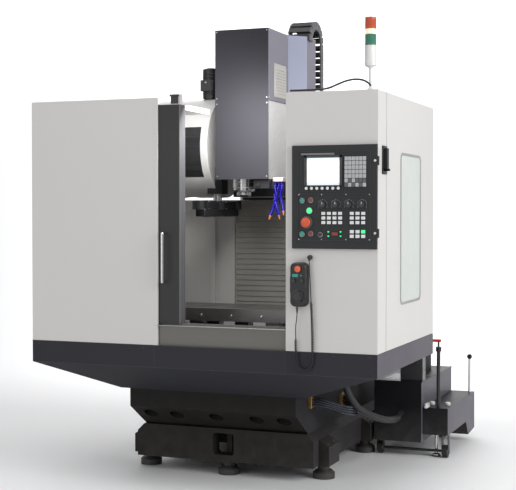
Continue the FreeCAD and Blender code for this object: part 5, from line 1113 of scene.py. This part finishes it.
screw_heads("arm_screws", [(arm_middle.x + dx, arm_middle.y + side * 0.13 + dy, arm_low.z - 0.0422)
                           for side in (-1.0, 1.0) for dx in (-0.011, 0.011) for dy in (-0.034, 0.034)],
            "Z", -0.0045, "exchange_arm", -0.0025)
motor_top = bmesh.new()
add_disc(motor_top, "Z", (-0.310, -0.105, 2.283), [(0.030, 0.0), (0.030, 0.004), (0.026, 0.007)], 32)
for row in range(7):
    add_disc(motor_top, "Z", (-0.310, -0.105, 2.135 + row * 0.019), [(0.0475, 0.0), (0.0500, 0.0015),
                                                                    (0.0500, 0.0055), (0.0475, 0.007)], 40)
add_box(motor_top, (-0.345, -0.275), (-0.180, -0.150), (2.150, 2.215))
make_piece("cam_motor_fins", motor_top, motor_black, "frame", bevel=0.001)
screw_heads("cam_motor_screw", [(-0.310, -0.1805, 2.200)], "Y", -0.006, "frame", -0.003)

# ---------------------------------------------------------------------------
# Cable carrier: a chain of black plastic links with lids, one end on the column's top and
# the other on the head cover.
# ---------------------------------------------------------------------------
chain_plastic = moulded("carrier_black_plastic", (0.035, 0.032, 0.034), rough=0.42, grain=200.0)
chain_side = moulded("carrier_gray_plastic", (0.085, 0.082, 0.088), rough=0.42, grain=200.0)
chain_low, chain_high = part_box("cable_carrier")
chain_radius, chain_depth = 0.100, 0.025
chain_centre_y = chain_high.y - 0.125
chain_centre_z = chain_high.z - 0.125
chain_leg = chain_centre_z - chain_low.z
chain_pitch = 0.0385
chain_total = chain_leg + math.pi * chain_radius
link_count = int(chain_total / chain_pitch)
lids = bmesh.new()
side_plates = bmesh.new()
for number in range(link_count):
    distance = (number + 0.5) * chain_total / link_count
    if distance < chain_leg:
        place = Vector((0.0, chain_centre_y + chain_radius, chain_low.z + distance))
        lean = 0.0
    else:
        lean = (distance - chain_leg) / chain_radius
        place = Vector((0.0, chain_centre_y + chain_radius * math.cos(lean),
                        chain_centre_z + chain_radius * math.sin(lean)))
    turn = Matrix.Translation(place) @ Matrix.Rotation(lean, 4, "X")
    half = chain_pitch * 0.46
    parts = [(lids, (chain_low.x + 0.009, chain_high.x - 0.009), (chain_depth - 0.007, chain_depth - 0.001),
              (-half * 0.92, half * 0.92)),
             (lids, (chain_low.x + 0.009, chain_high.x - 0.009),
              (-chain_depth + 0.001, -chain_depth + 0.005),
              (-half * 0.45, half * 0.45)),
             (side_plates, (chain_low.x, chain_low.x + 0.009), (-chain_depth, chain_depth),
              (-half, half * 1.16)),
             (side_plates, (chain_high.x - 0.009, chain_high.x), (-chain_depth, chain_depth),
              (-half, half * 1.16))]
    for mesh, x, y, z in parts:
        for vertex in add_box(mesh, x, y, z):
            vertex.co = turn @ vertex.co
lid_piece = make_piece("carrier_lids", lids, chain_plastic, None, bevel=0.0015)
side_piece = make_piece("carrier_links", side_plates, chain_side, None, bevel=0.002)
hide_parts("cable_carrier")
for chain_piece in (lid_piece, side_piece):
    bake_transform(chain_piece)

# ---------------------------------------------------------------------------
# Operator panel: a dark swing-out box with a bright liquid-crystal display behind a black
# bezel, rubber keys, four rotary switches on dial plates, lamps and a mushroom stop button.
# ---------------------------------------------------------------------------
panel_paint = painted("panel_dark_coat", (0.028, 0.029, 0.030), gloss=0.25, rough=0.5, spread=0.05,
                      wear=0.3, bare=(0.20, 0.20, 0.21), dust=0.05)
finish_node("panel_box", panel_paint)
panel_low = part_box("panel_box")[0]
face_y = panel_low.y
screen_x, screen_z = (0.614, 0.783), (1.571, 1.706)
bezel_black = moulded("bezel_black_plastic", (0.020, 0.020, 0.022), rough=0.3)


def on_face(mesh, x, z, proud, sunk=0.0):
    """Block that stands proud of the panel's face."""
    return add_box(mesh, x, (face_y - proud, face_y + sunk), z)


bezel = bmesh.new()
for x, z in (((screen_x[0] - 0.014, screen_x[1] + 0.014), (screen_z[1], screen_z[1] + 0.012)),
             ((screen_x[0] - 0.014, screen_x[1] + 0.014), (screen_z[0] - 0.006, screen_z[0])),
             ((screen_x[0] - 0.014, screen_x[0]), (screen_z[0] - 0.006, screen_z[1] + 0.012)),
             ((screen_x[1], screen_x[1] + 0.014), (screen_z[0] - 0.006, screen_z[1] + 0.012))):
    on_face(bezel, x, z, 0.003)
make_piece("screen_bezel", bezel, bezel_black, "operator_panel", bevel=0.001)

screen, screen_tree, screen_shader, screen_add = node_material("lit_display")
screen_place = screen_add("ShaderNodeTexCoord")
screen_split = screen_add("ShaderNodeSeparateXYZ", Vector=screen_place.outputs["Object"])
screen_rows = screen_add("ShaderNodeMapRange", {1: screen_z[0], 2: screen_z[1]},
                         Value=screen_split.outputs["Z"])
screen_bands = screen_add("ShaderNodeValToRGB", Fac=screen_rows.outputs["Result"])
screen_bands.color_ramp.interpolation = "CONSTANT"
screen_bands.color_ramp.elements[0].color = (0.55, 0.60, 0.66, 1.0)
screen_bands.color_ramp.elements[1].position = 0.10
screen_bands.color_ramp.elements[1].color = (0.90, 0.93, 0.96, 1.0)
for level, tone in ((0.30, (0.82, 0.85, 0.88, 1.0)), (0.315, (0.92, 0.95, 0.97, 1.0)),
                    (0.62, (0.82, 0.85, 0.88, 1.0)), (0.635, (0.93, 0.95, 0.97, 1.0)),
                    (0.90, (0.60, 0.68, 0.78, 1.0))):
    screen_bands.color_ramp.elements.new(level).color = tone
screen_dots = screen_add("ShaderNodeTexNoise", {"Scale": 900.0})
screen_mix = screen_add("ShaderNodeMix", {"data_type": "RGBA", "blend_type": "MULTIPLY", 0: 0.08})
screen_tree.links.new(screen_bands.outputs["Color"], screen_mix.inputs[6])
screen_tree.links.new(screen_dots.outputs["Color"], screen_mix.inputs[7])
screen_tree.links.new(screen_mix.outputs[2], screen_shader.inputs["Base Color"])
screen_tree.links.new(screen_mix.outputs[2], screen_shader.inputs["Emission Color"])
screen_shader.inputs["Emission Strength"].default_value = 0.75
screen_shader.inputs["Roughness"].default_value = 0.12
display = bmesh.new()
on_face(display, screen_x, screen_z, -0.001, 0.0035)
make_piece("display_glass", display, screen, "operator_panel", bevel=0.0005)

strip_finish = moulded("bare_strip_gray", (0.16, 0.165, 0.17), rough=0.4)
strips = bmesh.new()
on_face(strips, (0.584, 0.756), (1.720, 1.729), 0.0008)
make_piece("bare_header_strip", strips, strip_finish, "operator_panel")
borders = bmesh.new()
for x, z in (((0.566, 0.941), (1.5295, 1.5315)), ((0.566, 0.941), (1.298, 1.300)),
             ((0.566, 0.568), (1.298, 1.5315)), ((0.939, 0.941), (1.298, 1.5315)),
             ((0.800, 0.802), (1.5395, 1.738)), ((0.566, 0.941), (1.5395, 1.541)),
             ((0.566, 0.941), (1.7365, 1.738)), ((0.566, 0.5675), (1.5395, 1.738)),
             ((0.9395, 0.941), (1.5395, 1.738))):
    on_face(borders, x, z, 0.0009)
make_piece("sub_panel_borders", borders, shadow_gap, "operator_panel", smooth=False)
screw_heads("panel_screws",
            [(x, face_y, z) for x in (0.572, 0.691, 0.816, 0.935) for z in (1.3045, 1.5245)],
            "Y", -0.003, "operator_panel", -0.0014)

key_finishes = {
    "white": moulded("key_white_rubber", (0.72, 0.72, 0.72), rough=0.45),
    "gray": moulded("key_gray_rubber", (0.42, 0.43, 0.44), rough=0.45),
    "dark": moulded("key_dark_rubber", (0.10, 0.105, 0.11), rough=0.45),
    "teal": moulded("key_teal_rubber", (0.02, 0.30, 0.24), rough=0.35),
    "maroon": moulded("key_maroon_rubber", (0.22, 0.03, 0.03), rough=0.35),
}


def lit(name, tone, strength):
    """Translucent lamp cap that glows, its tone varied by a soft swirl."""
    material, tree, shader, add = node_material(name)
    swirl = add("ShaderNodeTexNoise", {"Scale": 90.0, "Detail": 2.0})
    mix = add("ShaderNodeMix", {"data_type": "RGBA", 6: (*[v * 0.75 for v in tone], 1.0),
                                7: (*[min(1.0, v * 1.15 + 0.03) for v in tone], 1.0)})
    tree.links.new(swirl.outputs["Fac"], mix.inputs["Factor"])
    tree.links.new(mix.outputs[2], shader.inputs["Base Color"])
    tree.links.new(mix.outputs[2], shader.inputs["Emission Color"])
    shader.inputs["Emission Strength"].default_value = strength
    shader.inputs["Roughness"].default_value = 0.22
    return material


green_lit = lit("green_lamp_cap", (0.03, 0.72, 0.20), 0.9)
key_finishes["green"] = green_lit
key_rows = {kind: bmesh.new() for kind in key_finishes}


def key_cap(kind, x, z, width, height, proud=0.0045):
    on_face(key_rows[kind], (x, x + width), (z, z + height), proud)


soft_key_x, soft_key_z, soft_key_pitch = 0.611, 1.556, 0.0276
data_key_x, data_key_z, data_key_pitch, data_key_row = 0.8095, 1.5625, 0.0184, 0.0213
mode_key_x, jog_key_x, mode_key_z, jog_key_z = 0.691, 0.837, 1.380, 1.313
key_pitch, key_row = 0.0287, 0.0225
for column in range(7):
    add_disc(key_rows["white"], "Y", (soft_key_x + column * soft_key_pitch, face_y - 0.0045, soft_key_z),
             [(0.0064, 0.0), (0.0076, 0.0012), (0.0076, 0.0045)], 20)
for column in range(6):
    for row in range(7):
        dark = row < 2 and (column + row) % 2 == 0 or (row == 1 and column > 3)
        key_cap("dark" if dark else "gray", data_key_x + column * data_key_pitch,
                data_key_z + row * data_key_row, 0.0165, 0.0190)
for column in range(4):
    for row in range(3):
        key_cap("white", mode_key_x + column * key_pitch, mode_key_z + row * key_row, 0.0195, 0.0152)
for column in range(3):
    for row in range(3):
        key_cap("white", jog_key_x + column * key_pitch, mode_key_z + row * key_row, 0.0195, 0.0152)
    for row in range(2):
        kind = "green" if (column, row) == (2, 1) else "white"
        key_cap(kind, jog_key_x + column * key_pitch, jog_key_z + row * key_row, 0.020, 0.016)
for mark_x in (0.726, 0.789):
    for mark_z in (1.342, 1.321):
        key_cap("green", mark_x - 0.004, mark_z - 0.003, 0.008, 0.006, 0.002)
key_cap("maroon", 0.744, 1.324, 0.030, 0.016, 0.002)
for kind, x, z in (("teal", 0.590, 1.496), ("maroon", 0.635, 1.498), ("teal", 0.590, 1.330),
                   ("maroon", 0.635, 1.333)):
    add_disc(key_rows[kind], "Y", (x, face_y - 0.009, z),
             [(0.0085, 0.0), (0.0105, 0.0018), (0.0105, 0.009)], 28)
for kind, mesh in key_rows.items():
    make_piece("keys_" + kind, mesh, key_finishes[kind], "operator_panel", bevel=0.0008)
collars = bmesh.new()
for x, z, radius in ((0.590, 1.496, 0.0135), (0.635, 1.498, 0.0135), (0.590, 1.330, 0.0135),
                     (0.635, 1.333, 0.0135), (0.685, 1.328, 0.0125), (0.628, 1.446, 0.0165)):
    inner = radius - 0.0028
    add_disc(collars, "Y", (x, face_y - 0.0045, z), [(inner, 0.0012), (inner + 0.001, 0.0), (radius, 0.001),
                                                     (radius, 0.0045)], 32)
make_piece("button_collars", collars, screw_steel, "operator_panel")
key_switch = bmesh.new()
add_disc(key_switch, "Y", (0.685, face_y - 0.011, 1.328),
         [(0.0085, 0.0), (0.0095, 0.001), (0.0095, 0.011)], 28)
add_box(key_switch, (0.6838, 0.6862), (face_y - 0.0120, face_y - 0.0108), (1.322, 1.334))
make_piece("key_switch", key_switch, bezel_black, "operator_panel")

finish_node("estop_button", moulded("stop_red_plastic", (0.62, 0.085, 0.028), rough=0.28))
finish_node("start_button", green_lit)
stop_low, stop_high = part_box("estop_button")
stop_middle = (stop_low + stop_high) / 2.0
stop_ring = bmesh.new()
add_disc(stop_ring, "Y", (stop_middle.x, face_y - 0.0022, stop_middle.z),
         [(0.029, 0.0), (0.030, 0.0008), (0.030, 0.0022)], 48)
make_piece("stop_collar_plate", stop_ring, key_finishes["dark"], "operator_panel")
stop_dome = bmesh.new()
stop_profile = [((stop_high.x - stop_low.x) / 2.0 * math.sin(math.radians(angle)),
                 0.0055 * (1.0 - math.cos(math.radians(angle)))) for angle in (12, 25, 40, 55, 70, 90)]
add_disc(stop_dome, "Y", (stop_middle.x, stop_low.y - 0.0052, stop_middle.z), stop_profile, 40)
make_piece("stop_dome", stop_dome, nodes["estop_button"].data.materials[0], "estop_button")

dial_black = moulded("dial_black_plastic", (0.018, 0.018, 0.019), rough=0.33)
scale_print = moulded("dial_scale_print", (0.55, 0.56, 0.57), rough=0.5)
for number in range(1, 5):
    node = "dial_%d" % number
    finish_node(node, dial_black)
    dial_low, dial_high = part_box(node)
    centre = (dial_low + dial_high) / 2.0
    skirt = bmesh.new()
    add_disc(skirt, "Y", (centre.x, face_y - 0.0045, centre.z),
             [(0.0165, 0.0), (0.0185, 0.0012), (0.0188, 0.0042)], 36)
    for notch in range(18):
        turn = 2.0 * math.pi * notch / 18.0
        add_disc(skirt, "Y", (centre.x + 0.0138 * math.cos(turn), dial_low.y + 0.0004,
                              centre.z + 0.0138 * math.sin(turn)),
                              [(0.0011, 0.0), (0.0015, 0.0006), (0.0015, 0.0135)], 8)
    make_piece("dial_skirt_%d" % number, skirt, dial_black, node)
    pointer = bmesh.new()
    add_box(pointer, (centre.x - 0.0011, centre.x + 0.0011), (dial_low.y - 0.0006, dial_low.y + 0.001),
            (centre.z + 0.001, centre.z + 0.0125))
    make_piece("dial_pointer_%d" % number, pointer, key_finishes["white"], node,
               bevel=0.0003)
    scale = bmesh.new()
    for mark in range(13):
        turn = math.radians(-120.0 + 20.0 * mark)
        near, far = 0.0215, 0.0268 if mark % 3 == 0 else 0.0245
        tick = add_box(scale, (-0.0006, 0.0006), (-0.0006, 0.0006), (near, far))
        for vertex in tick:
            vertex.co = Matrix.Translation((centre.x, face_y - 0.0002, centre.z)) @ \
                Matrix.Rotation(turn, 4, "Y") @ vertex.co
    make_piece("dial_scale_%d" % number, scale, scale_print, "operator_panel", smooth=False)
latch_parts = bmesh.new()
for latch_z in (1.336, 1.688):
    add_disc(latch_parts, "Y", (0.963, face_y - 0.0035, latch_z),
             [(0.0055, 0.0), (0.0065, 0.001), (0.0065, 0.0035)], 20)
make_piece("latch_pins", latch_parts, screw_steel, "operator_panel")

# ---------------------------------------------------------------------------
# Signal tower: an off-white body on a thin pole, with ribbed lamp lenses in green, pale
# amber and orange-red, each pressed on the one below.
# ---------------------------------------------------------------------------
finish_node("signal_tower", moulded("tower_white_plastic", (0.70, 0.70, 0.68), rough=0.32))
lens_low, lens_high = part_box("tower_lenses")
lens_middle = (lens_low + lens_high) / 2.0
lens_bands = (("green", 2.256, 2.310, (0.025, 0.17, 0.10), 0.05),
              ("amber", 2.310, 2.337, (0.95, 0.83, 0.58), 0.35),
              ("red", 2.337, 2.395, (0.45, 0.060, 0.015), 0.10))
for name, foot, top, tone, glow in lens_bands:
    lens = bmesh.new()
    radius = 0.0286
    profile = [(radius - 0.003, 0.0), (radius, 0.002)]
    ribs = int((top - foot - 0.006) / 0.006)
    for rib in range(ribs):
        level = 0.003 + rib * 0.006
        profile += [(radius, level), (radius - 0.0011, level + 0.003)]
    profile += [(radius, top - foot - 0.002), (radius - 0.004, top - foot)]
    add_disc(lens, "Z", (lens_middle.x, lens_middle.y, foot), profile, 48)
    lens_piece = make_piece("lens_" + name, lens, lit("lens_%s_plastic" % name, tone, glow), "frame")
    if name == "green":
        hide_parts("tower_lenses")
tower_rings = bmesh.new()
for level in (2.156, 2.168, 2.249):
    add_disc(tower_rings, "Z", (lens_middle.x, lens_middle.y, level),
             [(0.0285, 0.0), (0.0302, 0.001), (0.0302, 0.003),
                                                                      (0.0285, 0.004)], 48)
add_disc(tower_rings, "Z", (lens_middle.x, lens_middle.y, 2.1435),
         [(0.0085, 0.0), (0.012, 0.004), (0.027, 0.0125)], 40)
add_disc(tower_rings, "Z", (lens_middle.x, lens_middle.y, 2.040),
         [(0.026, 0.0), (0.020, 0.003), (0.0105, 0.010)], 40)
make_piece("tower_collars", tower_rings, nodes["signal_tower"].data.materials[0], "frame")

# ---------------------------------------------------------------------------
# Hand pendant: a rounded black shell that hangs on the guard, with a scaled handwheel, two
# small selector knobs, a red stop knob and a teal lamp; its lead enters by a ribbed sleeve.
# ---------------------------------------------------------------------------
pendant_black = moulded("pendant_black_plastic", (0.008, 0.008, 0.0085), rough=0.42, depth=0.0004)
shell_low, shell_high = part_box("pendant_body")
shell_front = -1.061
shell_middle_x = (shell_low.x + shell_high.x) / 2.0
pendant_shell = bmesh.new()
outline_points = []
for cx, cz, start in ((1, 1, 0.0), (-1, 1, 90.0), (-1, -1, 180.0), (1, -1, 270.0)):
    for step in range(7):
        turn = math.radians(start + 15.0 * step)
        outline_points.append((shell_middle_x + cx * 0.018 + 0.026 * math.cos(turn),
                               1.080 + cz * 0.084 + 0.026 * math.sin(turn)))
shell_loops = []
for shrink, y in ((0.97, -1.016), (1.0, -1.022), (1.0, -1.046), (0.985, -1.053), (0.94, -1.0585),
                  (0.88, shell_front)):
    shell_loops.append([pendant_shell.verts.new((shell_middle_x + (x - shell_middle_x) * shrink, y,
                                                 1.080 + (z - 1.080) * (1.0 - (1.0 - shrink) * 0.45)))
                        for x, z in outline_points])
for first, second in zip(shell_loops, shell_loops[1:]):
    for index in range(len(first)):
        after = (index + 1) % len(first)
        pendant_shell.faces.new((first[index], first[after], second[after], second[index]))
pendant_shell.faces.new(shell_loops[0])
pendant_shell.faces.new(list(reversed(shell_loops[-1])))
shell_piece = make_piece("pendant_shell", pendant_shell, pendant_black, "frame")
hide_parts("pendant_body")
pendant_knobs = bmesh.new()
for knob_x, knob_z in ((0.556, 1.100), (0.600, 1.100)):
    add_disc(pendant_knobs, "Y", (knob_x, shell_front - 0.011, knob_z),
             [(0.0075, 0.0), (0.0090, 0.0012), (0.0098, 0.011)], 14)
add_box(pendant_knobs, (0.5300, 0.5330), (-1.045, -1.028), (1.040, 1.120))
make_piece("pendant_knobs", pendant_knobs, bezel_black, "frame")
pendant_stop = bmesh.new()
add_disc(pendant_stop, "Y", (shell_middle_x, shell_front - 0.016, 1.158),
         [(0.004, 0.0), (0.010, 0.0006), (0.0148, 0.003), (0.016, 0.0060), (0.016, 0.0095),
          (0.0095, 0.0105), (0.009, 0.016)], 32)
make_piece("pendant_stop_knob", pendant_stop,
           moulded("pendant_stop_orange", (0.70, 0.12, 0.05), rough=0.3), "frame")
pendant_lamps = bmesh.new()
add_disc(pendant_lamps, "Y", (0.594, shell_front - 0.003, 1.126),
         [(0.0032, 0.0), (0.004, 0.0006), (0.004, 0.003)], 16)
add_box(pendant_lamps, (0.548, 0.578), (shell_front - 0.0008, shell_front + 0.002), (1.118, 1.133))
make_piece("pendant_lamps", pendant_lamps, key_finishes["teal"], "frame")
wheel_low, wheel_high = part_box("pendant_wheel")
wheel_x, wheel_z = (wheel_low.x + wheel_high.x) / 2.0, (wheel_low.z + wheel_high.z) / 2.0
wheel = bmesh.new()
add_disc(wheel, "Y", (wheel_x, wheel_low.y, wheel_z),
         [(0.019, 0.0030), (0.0205, 0.0010), (0.0235, 0.0), (0.0275, 0.0012),
                                                      (0.0292, 0.004), (0.0292, 0.0145)], 56)
for notch in range(36):
    turn = 2.0 * math.pi * notch / 36.0
    add_disc(wheel, "Y", (wheel_x + 0.0287 * math.cos(turn), wheel_low.y + 0.0035,
                          wheel_z + 0.0287 * math.sin(turn)),
             [(0.0008, 0.0), (0.0013, 0.0006), (0.0013, 0.0105)], 6)
add_disc(wheel, "Y", (wheel_x + 0.015, wheel_low.y - 0.0015, wheel_z + 0.006),
         [(0.0045, 0.0), (0.006, 0.001), (0.006, 0.005)], 20)
wheel_piece = make_piece("pendant_handwheel", wheel, dial_black, "pendant_wheel")
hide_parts("pendant_wheel")
wheel_marks = bmesh.new()
for mark in range(40):
    turn = 2.0 * math.pi * mark / 40.0
    tick = add_box(wheel_marks, (-0.00035, 0.00035), (-0.0004, 0.0004),
                   (0.0310, 0.0345 if mark % 5 == 0 else 0.0330))
    for vertex in tick:
        vertex.co = (Matrix.Translation((wheel_x, shell_front - 0.0002, wheel_z))
                     @ Matrix.Rotation(turn, 4, "Y") @ vertex.co)
make_piece("wheel_scale", wheel_marks, scale_print, "frame", smooth=False)
finish_node("pendant_gland", dial_black)
sleeve = bmesh.new()
sleeve_profile = [(0.0026, -0.030)]
for rib in range(6):
    sleeve_profile += [(0.0036 + rib * 0.0003, -0.029 + rib * 0.005),
                       (0.0046 + rib * 0.0003, -0.0275 + rib * 0.005),
                       (0.0046 + rib * 0.0003, -0.0255 + rib * 0.005)]
add_disc(sleeve, "Z", (0.566, -1.040, 0.969), sleeve_profile, 20)
make_piece("pendant_strain_relief", sleeve, bezel_black, "frame")

# ---------------------------------------------------------------------------
# Back of the machine: the cabinet's door has hinge pins, two banks of vents and a red and
# yellow main switch, in the same coat as the guards; the lubricator has three bands.
# ---------------------------------------------------------------------------
door_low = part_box("cabinet_door")[0]
door_vents = bmesh.new()
for bank in (1.62, 0.72):
    for row in range(9):
        level = bank + row * 0.017
        add_box(door_vents, (-0.16, 0.16), (door_low.y + 0.016, door_low.y + 0.0262),
                (level, level + 0.010))
make_piece("cabinet_vents", door_vents, guard_paint, "cabinet_door", bevel=0.0018)
hinges = bmesh.new()
for hinge_z in (0.70, 1.255, 1.81):
    add_rod(hinges, "Z", (-0.4345, 1.063, hinge_z - 0.035), 0.0045, 0.070, 0.001, 18)
make_piece("cabinet_hinges", hinges, screw_steel, "cabinet_door")
switch_plate = bmesh.new()
add_box(switch_plate, (0.250, 0.330), (1.0625, 1.0645), (1.710, 1.790))
make_piece("switch_yellow_plate", switch_plate, moulded("switch_yellow", (0.76, 0.52, 0.05)),
           "cabinet_door", bevel=0.0006)
switch_grip = bmesh.new()
add_disc(switch_grip, "Y", (0.290, 1.0622, 1.750), [(0.0345, 0.0), (0.0345, 0.006), (0.031, 0.0115)], 40)
make_piece("switch_red_disc", switch_grip, moulded("switch_red", (0.55, 0.03, 0.02)), "cabinet_door")
finish_node("lubricator", moulded("lubricator_white_plastic", (0.68, 0.68, 0.62), rough=0.3))
lube_low, lube_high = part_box("lubricator")
lube_parts = bmesh.new()
for row in range(3):
    add_box(lube_parts, (lube_low.x + 0.002, lube_high.x + 0.001), (lube_low.y, lube_high.y + 0.001),
            (0.94 + row * 0.07, 0.946 + row * 0.07))
make_piece("lubricator_bands", lube_parts, bezel_black, "frame", bevel=0.0015)

# ---------------------------------------------------------------------------
# Coolant tank: dark folded steel with a side tank, its faces turned to the right painted paler as
# the lit side, rolling on rubber-tyred wheels, with a switch box, pump, a riser pipe with a red
# valve lever, and a knobbed pull handle.
# ---------------------------------------------------------------------------
# Painted light: the tank's right-facing faces take a paler lit-side tone.
tank_paint = painted("tank_powder_coat", (0.0055, 0.0055, 0.0075), gloss=0.2, rough=0.45, spread=0.08,
                     wear=0.4, lit_side_tone=(0.085, 0.08, 0.10), dust=0.3)
finish_node("coolant_tank", tank_paint)
finish_node("tank_wheels", moulded("tyre_black_rubber", (0.014, 0.014, 0.014), rough=0.6, depth=0.0005))
finish_node("tank_fittings", moulded("fitting_black_enamel", (0.016, 0.016, 0.017), rough=0.28))
red_plastic = moulded("valve_red_plastic", (0.55, 0.03, 0.02), rough=0.3)
valve = bmesh.new()
add_rod(valve, "X", (0.935, 0.300, 0.686), 0.0088, 0.050, 0.003, 20)
make_piece("valve_lever_grip", valve, red_plastic, "frame")
white_fittings = bmesh.new()
for fit_y in (0.262, 0.292, 0.322):
    add_disc(white_fittings, "Z", (0.905, fit_y, 0.290),
             [(0.011, 0.0), (0.011, 0.010), (0.008, 0.012), (0.008, 0.026)], 6)
for fit_x in (0.905, 1.000):
    add_disc(white_fittings, "Z", (fit_x, 0.420, 0.290), [(0.016, 0.0), (0.016, 0.014), (0.010, 0.018)], 20)
make_piece("tank_white_fittings", white_fittings, moulded("fitting_white_plastic", (0.72, 0.72, 0.70)),
           "frame")
chrome_trim = bmesh.new()
add_disc(chrome_trim, "Z", (0.955, 0.320, 0.010),
         [(0.0265, 0.0), (0.0265, 0.004), (0.013, 0.009), (0.0098, 0.012),
                                                   (0.0098, 0.120)], 28)
add_rod(chrome_trim, "Z", (1.015, 0.975, 0.292), 0.0078, 0.215, 0.001, 20)
make_piece("tank_chrome_parts", chrome_trim, chrome, "frame")
hubs = bmesh.new()
wheel_box_low, wheel_box_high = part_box("tank_wheels")
for hub_x, width in ((wheel_box_low.x + 0.0055, 0.0305), (wheel_box_high.x - 0.0365, 0.0305)):
    add_disc(hubs, "X", (hub_x, 0.300, 0.037),
             [(0.020, 0.0), (0.022, 0.0015), (0.022, width - 0.0015), (0.020, width)], 28)
make_piece("wheel_hubs", hubs, screw_steel, "tank_wheels")
box_trim = bmesh.new()
add_box(box_trim, (0.753, 0.883), (0.2585, 0.262), (0.452, 0.592))
for trim_x in (0.785, 0.818, 0.851):
    add_disc(box_trim, "Y", (trim_x, 0.2505, 0.555), [(0.009, 0.0), (0.011, 0.002), (0.011, 0.0085)], 24)
make_piece("switch_box_lid", box_trim, bezel_black, "frame", bevel=0.0015)
tank_lip = bmesh.new()
add_box(tank_lip, (0.599, 0.8865), (0.2285, 0.236), (0.438, 0.447))
add_box(tank_lip, (0.880, 0.8875), (0.2285, 1.0355), (0.438, 0.447))
add_box(tank_lip, (0.8855, 1.0352), (0.2585, 0.264), (0.286, 0.293))
make_piece("tank_folded_lips", tank_lip, tank_paint, "frame", bevel=0.0015)
chip_screen = bmesh.new()
hatch_low, hatch_high = (0.630, 0.340), (0.855, 0.590)
for row in range(20):
    y = hatch_low[1] + 0.006 + row * 0.0125
    add_box(chip_screen, (hatch_low[0], hatch_high[0]), (y, y + 0.0045), (0.4405, 0.4435))
make_piece("chip_screen", chip_screen, screw_steel, "frame")
